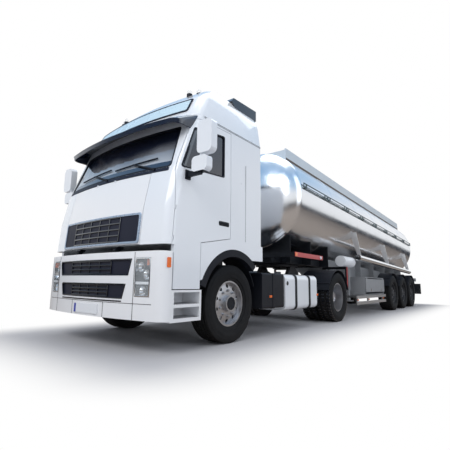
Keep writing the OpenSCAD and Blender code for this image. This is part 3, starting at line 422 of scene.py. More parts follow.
def glass_with_painted_reflection(name, low, high, z0, z1, rough):
    """Glass with a painted reflection of the pale ground at its foot, and dark higher up like the room behind
    it.
    """
    mat = glass(name, low, rough, 0.93)
    t = mat.node_tree
    shader = next(n for n in t.nodes if n.type == "BSDF_PRINCIPLED")
    where = add(t, "NewGeometry")
    axes = add(t, "SeparateXYZ")
    t.links.new(where.outputs["Position"], axes.inputs[0])
    wave = add(t, "TexNoise", Scale=0.9, Detail=2.0)
    t.links.new(where.outputs["Position"], wave.inputs["Vector"])
    height = maths(t, "MULTIPLY_ADD", wave.outputs["Fac"], WAVINESS, axes.outputs["Z"])
    blend = add(t, "MapRange", interpolation_type="SMOOTHSTEP")
    blend.inputs["From Min"].default_value = z0
    blend.inputs["From Max"].default_value = z1
    t.links.new(height, blend.inputs["Value"])
    t.links.new(mix_colour(t, blend.outputs[0], (*low, 1), (*high, 1)), shader.inputs["Base Color"])
    return mat


# The windscreen's colour is a painted reflection: pale ground at its foot, dark above.
MAT["screen_painted_reflection"] = glass_with_painted_reflection("screen_painted_reflection", (0.55, 0.58, 0.62), (0.008, 0.011, 0.024), 2.28, 2.72,
                                   0.06)
MAT["tinted_glass"] = glass("tinted_glass", (0.007, 0.010, 0.022), 0.05, 0.93)
MAT["lamp_glass"] = glass("lamp_glass", (0.8, 0.85, 0.88), 0.03, 0.18)
print(len(MAT), "finishes")

# %% [markdown]
# ## Building blocks
# Every new piece is made by one of a few shapes: a block bent to a surface, a round section swept along
# points, and a profile turned about a wheel's axle. `Part` gathers several of them in one closed-shell
# mesh with one finish, then puts it on its body.

# %% Building blocks
class Part:
    """Shapes gathered in one mesh; place() makes it an object that rides on a body."""

    def __init__(self, name, mat, body, slot):
        self.name, self.mat, self.body, self.slot = name, mat, body, slot
        self.bm = bmesh.new()

    def block(self, x, y, z, cuts=1, surf=None):
        """A block between two values on each axis. With surf, y is a depth off surf(x, z)."""
        xs = [x[0] + (x[1] - x[0]) * i / cuts for i in range(cuts + 1)]
        rings = []
        for px in xs:
            ring = []
            for py, pz in ((y[0], z[0]), (y[1], z[0]), (y[1], z[1]), (y[0], z[1])):
                ring.append(self.bm.verts.new((px, surf(px, pz) + py if surf else py, pz)))
            rings.append(ring)
        self.skin(rings, True)
        return self

    def skin(self, rings, capped=True, loop=False):
        """Faces between rings of points that already are vertices."""
        n = len(rings[0])
        spans = list(zip(rings, rings[1:])) + ([(rings[-1], rings[0])] if loop else [])
        for a, b in spans:
            for i in range(n):
                j = (i + 1) % n
                self.bm.faces.new((a[i], b[i], b[j], a[j]))
        if capped and not loop:
            self.bm.faces.new(rings[0])
            self.bm.faces.new(list(reversed(rings[-1])))
        return self

    def outline(self, points, y, surf=None):
        """A flat outline in X and Z, given depth along Y."""
        rings = [[self.bm.verts.new((px, (surf(px, pz) if surf else 0) + d, pz)) for px, pz in points]
                 for d in y]
        return self.skin(rings)

    def plate(self, points, axis, span):
        """An outline given as two coordinates, extruded along the axis that is left."""
        rings = []
        for s in span:
            ring = []
            for a, b in points:
                co = {"x": (s, a, b), "y": (a, s, b), "z": (a, b, s)}[axis]
                ring.append(self.bm.verts.new(co))
            rings.append(ring)
        return self.skin(rings)

    def tube(self, points, radius, sides=10, loop=False):
        """A round section along points; the radius may be a list with one value a point."""
        pts = [Vector(p) for p in points]
        rings = []
        normal = None
        for i, p in enumerate(pts):
            before = pts[i - 1] if i or loop else p
            after = pts[(i + 1) % len(pts)] if i + 1 < len(pts) or loop else p
            along = (after - before).normalized()
            if normal is None:
                normal = along.orthogonal().normalized()
            normal = (normal - along * normal.dot(along)).normalized()
            across = along.cross(normal)
            r = radius[i] if isinstance(radius, (list, tuple)) else radius
            rings.append([self.bm.verts.new(p + (normal * math.cos(t) + across * math.sin(t)) * r)
                          for t in (2 * math.pi * k / sides for k in range(sides))])
        return self.skin(rings, loop=loop)

    def lathe(self, profile, centre, axis, sides=64):
        """A closed profile of (along, radius) turned about an axis through centre."""
        axis = Vector(axis).normalized()
        u = axis.orthogonal().normalized()
        w = axis.cross(u)
        centre = Vector(centre)
        rings = []
        for k in range(sides):
            t = 2 * math.pi * k / sides
            out_dir = u * math.cos(t) + w * math.sin(t)
            rings.append([self.bm.verts.new(centre + axis * a + out_dir * r) for a, r in profile])
        return self.skin(rings, loop=True)

    def disc(self, centre, axis, radius, height, sides=32, edge=0.0):
        """A short round bar that starts at centre; edge rounds its far rim."""
        c, a = Vector(centre), Vector(axis).normalized()
        steps = [(0, radius), (height - edge, radius)] + ([(height, radius - edge)] if edge else [])
        u = a.orthogonal().normalized()
        w = a.cross(u)
        rings = [[self.bm.verts.new(c + a * h + (u * math.cos(t) + w * math.sin(t)) * r)
                  for t in (2 * math.pi * k / sides for k in range(sides))] for h, r in steps]
        return self.skin(rings)

    def place(self, bevel=0.0, angle=35, segments=2, subdivide=0):
        bmesh.ops.recalc_face_normals(self.bm, faces=self.bm.faces[:])
        return settle(to_object(self.name, self.bm), self.mat, self.body, bevel, angle, segments,
                      subdivide)


def to_object(name, bm):
    """The object that a bmesh becomes; the bmesh is used up."""
    mesh = bpy.data.meshes.new(name)
    bm.to_mesh(mesh)
    bm.free()
    return bpy.data.objects.new(name, mesh)


def settle(obj, mat, body, bevel=0.0, angle=35, segments=2, subdivide=0):
    """Gives a new object its finish, soft edges, smooth shading and body."""
    bpy.context.scene.collection.objects.link(obj)
    obj.data.materials.clear()
    obj.data.materials.append(MAT[mat])
    if bevel:
        mod = obj.modifiers.new("edges", "BEVEL")
        mod.width = bevel
        mod.segments = segments
        mod.limit_method = "ANGLE"
        mod.angle_limit = math.radians(angle)
        mod.use_clamp_overlap = True
        mod.harden_normals = False
    if subdivide:
        mod = obj.modifiers.new("smooth", "SUBSURF")
        mod.levels = mod.render_levels = subdivide
    obj.data.shade_smooth()
    mesh_bm = bmesh.new()
    mesh_bm.from_mesh(obj.data)
    for edge in mesh_bm.edges:
        if not subdivide and len(edge.link_faces) == 2:
            edge.smooth = edge.calc_face_angle(0) < math.radians(angle)
    mesh_bm.to_mesh(obj.data)
    mesh_bm.free()
    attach(obj, body)
    return obj


def body_name(node):
    for name, body in frame["record"]["behaviour"]["bodies"].items():
        if node in (body if isinstance(body, list) else body.get("nodes", [])):
            return name
    raise KeyError(node)


def welded(node):
    """A CAD node's mesh in the world's frame, with its doubled points joined."""
    bm = bmesh.new()
    bm.from_mesh(NODES[node].data)
    bm.transform(NODES[node].matrix_world)
    bmesh.ops.remove_doubles(bm, verts=bm.verts[:], dist=0.0002)
    return bm


def join_flats(bm):
    """Triangles that lie in one plane become one face."""
    bmesh.ops.dissolve_limit(bm, angle_limit=math.radians(0.7), verts=bm.verts[:], edges=bm.edges[:])


def soften(node, mat, bevel=0.005, angle=38, segments=2):
    """A copy of a CAD node's mesh with clean faces and rounded edges, shown in the node's place."""
    bm = welded(node)
    join_flats(bm)
    obj = settle(to_object(node + "_skin", bm), mat, body_name(node), bevel, angle, segments)
    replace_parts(obj, node)
    return obj


def dress(mat, *nodes):
    """A CAD node keeps its shape and takes a finish."""
    for node in nodes:
        obj = NODES[node]
        for material_slot in obj.material_slots:
            material_slot.link = "OBJECT"
            material_slot.material = MAT[mat]


for mat, nodes in {
    "chassis_paint": ("tractor_frame", "front_axle", "drive_axle", "tractor_suspension",
                      "trailer_running_gear", "cab_tilt_lugs", "rear_bumper"),
    "cast_metal": ("engine", "fifth_wheel", "knuckle_left", "knuckle_right"),
    "grey_paint": ("landing_legs",),
    "screen_painted_reflection": ("windscreen",),
    "tinted_glass": ("door_glass_left", "door_glass_right"),
}.items():
    dress(mat, *nodes)
# (node, finish, slot, width of its soft edges)
SOFTENED = (
    ("cab_shell", "cab_paint", "cab_paint", 0.006), ("roof_cap", "cab_paint", "cab_paint", 0.012),
    ("door_left", "cab_paint", "cab_paint", 0.005), ("door_right", "cab_paint", "cab_paint", 0.005),
    # the flap and the bumper take the lighter copy of the white paint, a painted lit copy
    ("front_flap", "front_paint_lit", "black_plastic", 0.006),
    ("front_bumper", "front_paint_lit", "cab_paint", 0.012),
    ("sun_visor", "visor_navy", "black_plastic", 0.006),
    ("roof_spoiler", "gloss_black", "black_plastic", 0.02),
    ("wheel_arch_lips", "black_plastic", "black_plastic", 0.003),
    ("tractor_mudguards", "black_plastic", "black_plastic", 0.003),
    ("trailer_mudguards", "black_plastic", "black_plastic", 0.003),
    ("dashboard", "slate_plastic", "black_plastic", 0.02),
    ("lower_grilles", "slate_plastic", "black_plastic", 0.004),
    ("side_boxes", "black_plastic", "black_plastic", 0.006),
    ("fuel_tanks", "cab_paint", "cab_paint", 0.012), ("mirror_left", "cab_paint", "cab_paint", 0.02),
    ("mirror_right", "cab_paint", "cab_paint", 0.02), ("cabinet_body", "grey_paint", "grey_paint", 0.006),
    ("cabinet_door", "grey_paint", "grey_paint", 0.004),
    ("coupling_frame", "red_paint", "red_paint", 0.004),
    ("trailer_frame", "grey_paint", "grey_paint", 0.004),
    ("side_guards", "bare_aluminium", "bare_aluminium", 0.004),
    ("hose_tubes", "bare_aluminium", "bare_aluminium", 0.004),
    ("walkway_and_ladder", "pale_walkway", "pale_walkway", 0.003),
    ("side_rails", "rail_paint", "rail_paint", 0.003),
)
for node, mat, slot, width in SOFTENED:
    soften(node, mat, width)

# %% [markdown]
# ## The cab's own curves
# The front is bowed and leans back in steps, and turns into the sides through rounded corners. Two
# functions give that surface again, so that glass seals, grilles and lamps follow it exactly.

# %% Surfaces
LEVELS = [(1.188, 0.045, 1.245), (1.6, 0.075, 1.245), (2.05, 0.165, 1.245), (2.76, 0.430, 1.235),
          (2.86, 0.470, 1.235), (3.18, 0.640, 1.190), (3.38, 0.850, 1.120), (3.45, 1.1, 1.02)]
BOW = 6.0
CORNER = 0.13


def level(z):
    """The cab's front edge and half width at a height."""
    z = min(max(z, LEVELS[0][0]), LEVELS[-1][0])
    for (z0, f0, w0), (z1, f1, w1) in zip(LEVELS, LEVELS[1:]):
        if z <= z1:
            t = (z - z0) / (z1 - z0)
            return f0 + (f1 - f0) * t, w0 + (w1 - w0) * t
    return LEVELS[-1][1:]


def bowed(x, front, half):
    phi = math.asin((half - CORNER) / (BOW - CORNER))
    x = min(abs(x), half)
    if x <= BOW * math.sin(phi):
        return back(front + BOW - math.sqrt(BOW ** 2 - x ** 2))
    middle = front + BOW - (BOW - CORNER) * math.cos(phi)
    return back(middle - math.sqrt(max(CORNER ** 2 - (x - half + CORNER) ** 2, 0)))


def cab_front(x, z):
    return bowed(x, *level(z))


def bumper_front(x, z):
    return bowed(x, 0.006, 1.245)


def cab_side(y, z):
    """X of the cab's side at a place along it, a distance from the lorry's front."""
    front, half = level(z)
    phi = math.asin((half - CORNER) / (BOW - CORNER))
    middle = front + BOW - (BOW - CORNER) * math.cos(phi)
    if y >= middle:
        return half
    return half - CORNER + math.sqrt(max(CORNER ** 2 - (middle - y) ** 2, 0))


def rounded(points, radius, steps=4):
    """A closed outline of two coordinates with its corners rounded."""
    out_points = []
    n = len(points)
    for i in range(n):
        p, a, b = Vector(points[i]), Vector(points[i - 1]), Vector(points[(i + 1) % n])
        da, db = (a - p).normalized(), (b - p).normalized()
        cut = min(radius / max(math.tan(da.angle(db) / 2), 0.2), (a - p).length / 2, (b - p).length / 2)
        s, e = p + da * cut, p + db * cut
        for k in range(steps + 1):
            t = k / steps
            out_points.append(tuple(s * (1 - t) ** 2 + p * 2 * t * (1 - t) + e * t * t))
    return out_points


def panel(a0, a1, b0, b1, radius, steps=4):
    """A rectangle with rounded corners between two values of each coordinate."""
    return rounded([(a0, b0), (a1, b0), (a1, b1), (a0, b1)], radius, steps)


def shrink(points, by):
    """A convex outline drawn in towards its middle by a distance."""
    cx = sum(p[0] for p in points) / len(points)
    cy = sum(p[1] for p in points) / len(points)
    w = max(abs(p[0] - cx) for p in points)
    h = max(abs(p[1] - cy) for p in points)
    return [(cx + (p[0] - cx) * (1 - by / w), cy + (p[1] - cy) * (1 - by / h)) for p in points]


def frame_ring(part, outer, width, depth, place_at):
    """A closed ring between an outline and the same one drawn in. place_at(a, b, d) gives each point."""
    dense = []
    for p, q in zip(outer, outer[1:] + outer[:1]):
        n = max(1, int(math.dist(p, q) / 0.12))
        dense += [(p[0] + (q[0] - p[0]) * k / n, p[1] + (q[1] - p[1]) * k / n) for k in range(n)]
    inner = shrink(dense, width)
    rings = []
    for o, i in zip(dense, inner):
        rings.append([part.bm.verts.new(place_at(a, b, d)) for (a, b), d in
                      ((o, depth[0]), (o, depth[1]), (i, depth[1]), (i, depth[0]))])
    part.skin(rings, loop=True)
    return part


def on_front(x, z, d):
    return (x, cab_front(x, z) + d, z)


def on_bumper(x, z, d):
    return (x, bumper_front(x, z) + d, z)


print("cab side at the belt:", round(cab_side(1.2, 2.05), 3))

# %% [markdown]
# ## The front
# The upper grille sits on the flap, which lifts, so its pieces ride on the flap's body. The two lower
# grilles, the lamps and the number plate belong to the bumper and ride on the tractor. So do the plain
# shields beside the engine, which close the view through the wheel arches.

# %% Grilles
def grille(name, body, surf, x_half, z, rows, columns, depth, bar):
    """Bars across and upright bars, standing off a surface between two depths."""
    part = Part(name, "gloss_black", body, "black_plastic")
    for i in range(rows + 1):
        h = z[0] + (z[1] - z[0]) * i / rows
        part.block((-x_half, x_half), depth, (h - bar, h + bar), 24, surf)
    for i in range(columns + 1):
        x = -x_half + 2 * x_half * i / columns
        part.block((x - bar * 0.8, x + bar * 0.8), (depth[0] + 0.003, depth[1]), (z[0], z[1]), 1, surf)
    return part.place(0.003)


MAT["frame_blue"] = finish("frame_blue", (0.34, 0.42, 0.53), rough=0.25, metal=0.7, mottled=0.15, dusty=0.05)
surround = Part("upper_grille_frame", "frame_blue", "front_flap", "black_plastic")
frame_ring(surround, panel(-0.835, 0.835, 1.205, 1.565, 0.03), 0.026,
           (-0.012, 0.006), on_front)
surround.place(0.003)
Part("upper_grille_panel", "slate_plastic", "front_flap", "black_plastic").block(
    (-0.81, 0.81), (-0.003, 0.004), (1.225, 1.545), 24, cab_front).place()
grille("upper_grille_bars", "front_flap", cab_front, 0.50, (1.24, 1.535), 4, 5, (-0.016, 0.002), 0.009)
for label, x_half, z in (("middle", 0.44, (0.862, 1.01)), ("lower", 0.40, (0.602, 0.73))):
    grille(label + "_grille_bars", "tractor", bumper_front, x_half, z, 3, 4, (0.002, 0.02), 0.0075)
for label, top, foot, z in (("middle", 0.80, 0.75, (0.84, 1.03)), ("lower", 0.72, 0.67, (0.58, 0.75))):
    lip = Part(label + "_grille_lip", "gloss_black", "tractor", "black_plastic")
    frame_ring(lip, rounded([(-foot, z[0]), (foot, z[0]), (top, z[1]), (-top, z[1])], 0.03), 0.014,
               (-0.003, 0.019), on_bumper)
    lip.place(0.002)
seams = Part("bumper_seams", "gloss_black", "tractor", "black_plastic")
seams.block((-1.10, 1.10), (-0.0015, 0.003), (0.532, 0.538), 30, bumper_front)
seams.block((-0.66, 0.66), (-0.002, 0.003), (0.546, 0.562), 20, bumper_front)
for x in (-0.84, -0.345, 0.345, 0.84):
    top = 0.532 if abs(x) < 0.5 else 1.10
    seams.block((x - 0.003, x + 0.003), (-0.0015, 0.003), (0.362, top), 1, bumper_front)
seams.place()
Part("number_plate", "white_plate", "tractor", "cab_paint").plate(
    panel(-0.255, 0.255, 0.39, 0.50, 0.008), "y", (FRONT - 0.004, FRONT)
).place(0.001)
Part("plate_band", "blue_band", "tractor", "cab_paint").plate(
    panel(-0.255, -0.213, 0.391, 0.499, 0.006), "y",
    (FRONT - 0.0052, FRONT - 0.004)).place()

# %% Lamps
cover = Part("lamp_covers", "lamp_glass", "tractor", "lamp_glass")
housing = Part("lamp_housings", "gloss_black", "tractor", "cast_metal")
rims = Part("lamp_rims", "chrome", "tractor", "cast_metal")
# The lamps' dividers take the lighter copy of the white paint, a painted lit copy.
bars = Part("lamp_dividers", "front_paint_lit", "tractor", "cab_paint")
bowls = Part("lamp_bowls", "chrome", "tractor", "cast_metal")
bulbs = Part("lamp_lenses", "gloss_black", "tractor", "black_plastic")
turn = Part("lamp_indicators", "amber", "tractor", "lamp_glass")
for s in (-1, 1):
    xs = sorted((s * 0.853, s * 1.067))
    cover.block(xs, (0.004, 0.008), (0.613, 1.037), 6, bumper_front)
    housing.block(xs, (0.085, 0.098), (0.613, 1.037), 6, bumper_front)
    outline = panel(xs[0], xs[1], 0.613, 1.037, 0.02)
    frame_ring(rims, outline, 0.012, (-0.002, 0.09), on_bumper)
    bars.block((xs[0] + 0.01, xs[1] - 0.01), (0.01, 0.084), (0.745, 0.775), 4, bumper_front)
    for x, z, r in ((0.915, 0.935, 0.052), (1.0, 0.85, 0.052), (0.95, 0.675, 0.05)):
        y = bumper_front(x, z)
        bowls.lathe([(0.022, r), (0.05, r * 0.8), (0.078, r * 0.3), (0.084, r * 0.3), (0.056, r * 0.86),
                     (0.022, r + 0.004)], (s * x, y, z), (0, 1, 0), 32)
        bulbs.lathe([(0.045, 0.001), (0.048, r * 0.34), (0.08, r * 0.34), (0.08, 0.001)], (s * x, y, z),
                    (0, 1, 0), 20)
    turn.block(sorted((s * 0.97, s * 1.05)), (0.05, 0.075), (0.955, 1.02), 3, bumper_front)
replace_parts(cover.place(), "headlamps")
for part in (housing, rims, bars, bowls, bulbs, turn):
    part.place(0.0015 if part in (rims, bars) else 0)
side_lamps = Part("side_lamps", "amber", "tractor", "lamp_glass")
for s in (-1, 1):
    side_lamps.plate(panel(back(0.185), back(0.235), 0.93, 1.04, 0.01), "x", sorted((s * 1.238, s * 1.250)))
side_lamps.place(0.001)
shields = Part("engine_shields", "chassis_paint", "tractor", "chassis_paint")
for s in (-1, 1):
    shields.block(sorted((s * 0.50, s * 0.515)), (back(0.80), back(2.02)), (0.72, 1.20))
shields.place(0.002)

# %% [markdown]
# ## Glass, seals and cab trim
# Every window has a rubber seal that follows its outline. The wipers lie on the foot of the screen, and
# the dark strips above it, over its foot and below it are shaped by the same surface.

# %% Seals and trim
seal = Part("screen_seal", "black_plastic", "cab", "black_plastic")
SCREEN = rounded([(-1.118, 2.107), (1.118, 2.107), (1.058, 2.70), (-1.058, 2.70)], 0.045)
frame_ring(seal, SCREEN, 0.022, (0.001, 0.016), on_front)
seal.place(0.002)
Part("sun_strip", "gloss_black", "cab", "tinted_glass").block(
    (-0.92, 0.92), (0.0125, 0.0155), (2.585, 2.66), 30, cab_front).place()
Part("cowl_strip", "slate_plastic", "cab", "black_plastic").block(
    (-1.10, 1.10), (-0.004, 0.01), (2.056, 2.104), 40, cab_front).place(0.004)
Part("screen_band", "visor_navy", "cab", "black_plastic").block(
    (-1.075, 1.075), (0.010, 0.0155), (2.125, 2.195), 40, cab_front).place()
wipers = Part("wipers", "black_plastic", "cab", "black_plastic")
for x0, x1 in ((0.10, 0.86), (-0.78, -0.02)):
    pivot = (x1 + 0.02, cab_front(x1 + 0.02, 2.10) - 0.006, 2.10)
    tip = (x0 + 0.36, cab_front(x0 + 0.36, 2.245) - 0.012, 2.245)
    wipers.tube([pivot, tip], [0.015, 0.009], 8)
    wipers.disc((pivot[0], pivot[1] - 0.016, pivot[2]), (0, 1, 0), 0.02, 0.024, 16)
    blade = [(x, cab_front(x, 2.225 + (x - x0) * 0.05) - 0.003, 2.225 + (x - x0) * 0.05)
             for x in (x0 + (x1 - x0) * k / 10 for k in range(11))]
    wipers.tube(blade, 0.010, 6)
wipers.place()
WINDOW = [(0.345, 2.095), (1.135, 2.150), (1.140, 2.735), (0.560, 2.665)]
for s, side in ((1, "left"), (-1, "right")):
    def on_side(y, z, d, s=s):
        return (s * (cab_side(y, z) + d), back(y), z)
    ring = Part("window_seal_" + side, "black_plastic", "door_" + side, "black_plastic")
    frame_ring(ring, rounded(WINDOW, 0.03), 0.02, (-0.02, 0.003), on_side)
    ring.place(0.002)
    grip = Part("handle_" + side, "black_plastic", "door_" + side, "black_plastic")
    grip.plate(panel(back(1.03), back(1.24), 1.50, 1.56, 0.02), "x",
               sorted((s * 1.243, s * 1.249)))
    grip.tube([(s * 1.247, back(1.05), 1.536), (s * 1.254, back(1.08), 1.538), (s * 1.254, back(1.19), 1.538),
               (s * 1.247, back(1.22), 1.536)], 0.008, 8)
    grip.place(0.002)
    # Dark lines along the side's creases are painted shade.
    lines = Part("crease_shade_lines_" + side, "slate_plastic", "cab", "black_plastic")
    for z, y0, y1 in ((2.862, 0.72, 2.02), (2.846, 0.72, 2.02)):
        lines.tube([(s * (cab_side(y, z) + 0.0005), back(y), z) for y in (y0, y0 + 0.3, y1)], 0.003, 6)
    lines.tube([(s * 1.2456, back(1.62), z) for z in (1.34, 1.8, 2.2, 2.45)], 0.002, 6)
    lines.place()
sign = Part("sign_panel", "sign_blue", "cab", "cab_paint")
sign.block((-1.02, 1.02), (-0.012, 0.004), (2.975, 3.165), 30, cab_front)
sign.place(0.004)
sign_edge = Part("sign_edge", "slate_plastic", "cab", "black_plastic")
frame_ring(sign_edge, rounded([(-1.04, 2.955), (1.04, 2.955), (1.03, 3.185), (-1.03, 3.185)], 0.03), 0.022,
           (-0.016, 0.004), on_front)
sign_edge.place(0.003)
roof_lamps = Part("roof_lamps", "lamp_glass", "cab", "lamp_glass")
bases = Part("roof_lamp_bases", "black_plastic", "cab", "black_plastic")
for x, y in ((-0.86, 0.97), (0.74, 0.93), (0.86, 1.0), (-0.74, 0.93)):
    z = 3.385
    bases.disc((x, back(y), z), (0, 0, 1), 0.04, 0.05, 24, 0.006)
    roof_lamps.disc((x, back(y), z + 0.05), (0, 0, 1), 0.034, 0.06, 24, 0.02)
roof_lamps.place()
bases.place()

# %% [markdown]
# ## Mirrors, tanks and steps
# The mirrors turn with the doors, so their black arms, rims and glasses ride on them too. The fuel tank
# is held by two steel straps with dark rubber under them.

# %% Mirrors and straps
def repaint(obj, mat, test):
    """A second finish on the faces of a skin whose middle passes a test."""
    obj.data.materials.append(MAT[mat])
    index = len(obj.data.materials) - 1
    for face in obj.data.polygons:
        if test(face.center):
            face.material_index = index


for s, side in ((1, "left"), (-1, "right")):
    skin_obj = bpy.data.objects["mirror_" + side + "_skin"]
    repaint(skin_obj, "black_plastic", lambda c: c.z < 2.052 and abs(c.x) < 1.48 and c.y < back(0.56) or
            abs(c.x) < 1.30)
    glasses = Part("mirror_glass_" + side, "chrome", "door_" + side, "tinted_glass")
    rim = Part("mirror_rim_" + side, "black_plastic", "door_" + side, "black_plastic")
    for cx, cz, w, h in ((1.53, 2.42, 0.22, 0.39), (1.46, 2.11, 0.23, 0.18)):
        half_w, half_h = w / 2 - 0.012, h / 2 - 0.012
        outline = panel(s * cx - half_w, s * cx + half_w, cz - half_h, cz + half_h, 0.025)
        rim.outline(outline, (back(0.499), back(0.503)))
        glasses.outline(shrink(outline, 0.012), (back(0.503), back(0.505)))
    rim.place(0.001)
    glasses.place()

straps = Part("tank_straps", "black_plastic", "tractor", "black_plastic")
caps = Part("tank_caps", "cast_metal", "tractor", "cast_metal")


def strap(part, x, z, w, h, r, y0, y1, thick):
    """A band round a rounded box that runs along Y."""
    outer = panel(x - w / 2, x + w / 2, z - h / 2, z + h / 2, r, 8)
    rings = []
    for px, pz in outer:
        gx, gz = x + (px - x) * (1 + 2 * thick / w), z + (pz - z) * (1 + 2 * thick / h)
        rings.append([part.bm.verts.new(p) for p in ((px, y0, pz), (px, y1, pz), (gx, y1, gz), (gx, y0, gz))])
    part.skin(rings, loop=True)


for s in (-1, 1):
    for y in (3.16, 3.68):
        strap(straps, s * 0.92, 0.635, 0.6, 0.59, 0.09, back(y - 0.035), back(y + 0.035), 0.007)
    strap(straps, s * 0.918, 0.665, 0.59, 0.53, 0.03, back(2.40), back(2.46), 0.006)
    caps.disc((s * 0.98, back(2.95), 0.93), (0, 0, 1), 0.06, 0.045, 32, 0.008)
    caps.disc((s * 1.205, back(2.86), 0.78), (s, 0, 0), 0.035, 0.02, 24, 0.004)
straps.place(0.001)
caps.place()
ribs = Part("step_treads", "wheel_silver", "tractor", "bare_aluminium")
for s in (-1, 1):
    for z in (0.385, 0.535):
        for i in range(9):
            y = back(0.325 + i * 0.045)
            ribs.block(sorted((s * 0.98, s * 1.238)), (y, y + 0.014), (z, z + 0.006))
ribs.place()
marks = Part("side_markers", "amber", "tractor", "lamp_glass")
trailer_marks = Part("trailer_markers", "amber", "trailer", "lamp_glass")
for s in (-1, 1):
    for y, z, x in ((2.30, 0.56, 1.213), (3.98, 0.56, 1.215)):
        marks.plate(panel(back(y), back(y + 0.07), z, z + 0.035, 0.008),
                    "x", sorted((s * x, s * (x + 0.008))))
    for y in (6.30, 7.15, 8.50):
        trailer_marks.plate(panel(back(y), back(y + 0.09), 0.39, 0.425, 0.008), "x",
                            sorted((s * 1.216, s * 1.224)))
marks.place(0.001)
trailer_marks.place(0.001)

# %% [markdown]
# ## Wheels and tyres
# A tyre is one section turned about its axle, with the grooves and the raised rings of its side cut into
# that section. Cross cuts are added on the driven axle, whose tread is made of blocks. Nuts, valves and
# hub caps are turned parts on the rims. A faceted hole needs a little more room than a true circle when it
# turns on a faceted stub, so the holes of the trailer's rims are opened slightly.

# %% Wheels
GROOVE = 0.014      # depth of the tread grooves


def tyre_section(r, w, bead, grooves):
    """(along, radius) of a tyre's closed section, from one bead over the tread to the other."""
    half = w / 2
    wall = r - bead
    side = [(half * 0.72, bead), (half * 0.80, bead + 0.012), (half * 0.86, bead + 0.016),
            (half * 0.90, bead + 0.05), (half * 0.955, bead + 0.052), (half * 0.965, bead + 0.075),
            (half * 0.985, bead + wall * 0.45), (half, bead + wall * 0.52), (half, bead + wall * 0.60),
            (half * 0.985, bead + wall * 0.66), (half * 0.96, bead + wall * 0.80),
            (half * 0.945, bead + wall * 0.81), (half * 0.93, r - 0.030), (half * 0.90, r - 0.014),
            (half * 0.86, r - 0.005)]
    tread = []
    for g in grooves:
        x = half * g
        tread += [(x + 0.007, r - 0.001), (x + 0.005, r - GROOVE), (x - 0.005, r - GROOVE),
                  (x - 0.007, r - 0.001)]
    return side + tread + [(-a, b) for a, b in reversed(side)]


def tread_cuts(part, centre, r, half, count):
    """Short dark bars across the shoulders of a block tread."""
    for k in range(count):
        t = 2 * math.pi * k / count
        up = Vector((0, math.cos(t), math.sin(t)))
        fore = Vector((0, -math.sin(t), math.cos(t)))
        for a0, a1 in ((half * 0.50, half * 0.90), (-half * 0.90, -half * 0.50), (-half * 0.18, half * 0.18)):
            ring = []
            for a, shift in ((a0, 0.0), (a1, 0.012 if a1 > 0 else -0.012)):
                base = Vector(centre) + Vector((a, 0, 0)) + fore * shift
                ring.append([part.bm.verts.new(base + up * (r + h) + fore * f) for h, f in
                             ((-0.02, -0.018), (0.0015, -0.016), (0.0015, 0.016), (-0.02, 0.018))])
            part.skin(ring)


def nuts(part, centre, axis, ring_r, count, size, height):
    side = 1 if axis[0] > 0 else -1
    for k in range(count):
        t = 2 * math.pi * (k + 0.5) / count
        at = (centre[0], centre[1] + ring_r * math.cos(t), centre[2] + ring_r * math.sin(t))
        part.disc(at, axis, size * 1.25, 0.004, 12)
        part.disc((at[0] + side * 0.004, at[1], at[2]), axis, size, height, 6, 0.002)
        part.disc((at[0] + side * (height + 0.004), at[1], at[2]), axis, size * 0.45, 0.008, 8)


def wheel_kit(name, body, side, y, z, nut_x, hub_x, hub_r, metal, hub_metal):
    """Nuts, a valve and a domed hub cap for a wheel."""
    kit = Part(name + "_nuts", metal, body, "wheel_silver")
    nuts(kit, (side * nut_x, y, z), (side, 0, 0), 0.1675, 10, 0.016, 0.02)
    kit.tube([(side * (nut_x - 0.01), y + 0.215, z), (side * (nut_x + 0.03), y + 0.222, z),
              (side * (nut_x + 0.05), y + 0.222, z)], 0.005, 6)
    kit.place()
    cap = Part(name + "_hub", hub_metal, body, "cast_metal")
    cap.lathe([(-0.02, 0.001), (-0.02, hub_r), (0.0, hub_r), (0.006, hub_r * 0.95), (0.008, hub_r * 0.6),
               (0.003, hub_r * 0.55), (0.003, 0.001)], (side * hub_x, y, z), (side, 0, 0), 48)
    for k in range(8):
        t = math.pi * k / 4
        cap.disc((side * hub_x, y + hub_r * 0.8 * math.cos(t), z + hub_r * 0.8 * math.sin(t)), (side, 0, 0),
                 0.007, 0.012, 6)
    cap.place()


def loose_copy(node, keep, mat, name, bevel=0.003):
    """A softened copy of the solids of a node that pass a test on their largest radius about X."""
    lo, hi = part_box(node)
    cy, cz = (lo.y + hi.y) / 2, (lo.z + hi.z) / 2
    bm = welded(node)
    seen = set()
    for v in bm.verts[:]:
        if not v.is_valid or v in seen:
            continue
        group_verts, queue = [], [v]
        seen.add(v)
        while queue:
            u = queue.pop()
            group_verts.append(u)
            for e in u.link_edges:
                w = e.other_vert(u)
                if w not in seen:
                    seen.add(w)
                    queue.append(w)
        reach = max(math.hypot(u.co.y - cy, u.co.z - cz) for u in group_verts)
        if not keep(reach):
            bmesh.ops.delete(bm, geom=group_verts, context="VERTS")
    join_flats(bm)
    return settle(to_object(name, bm), mat, body_name(node), bevel, 38, 2)


def open_round(obj, axis, centre, within, gap):
    """Moves a bore's points out, or a pin's in when the gap is negative, so that facets pass as they turn."""
    a, b = ("y", "z") if axis == "x" else ("x", "y")
    for v in obj.data.vertices:
        da, db = getattr(v.co, a) - getattr(centre, a), getattr(v.co, b) - getattr(centre, b)
        r = math.hypot(da, db)
        if 1e-4 < r < within:
            setattr(v.co, a, getattr(centre, a) + da * (r + gap) / r)
            setattr(v.co, b, getattr(centre, b) + db * (r + gap) / r)


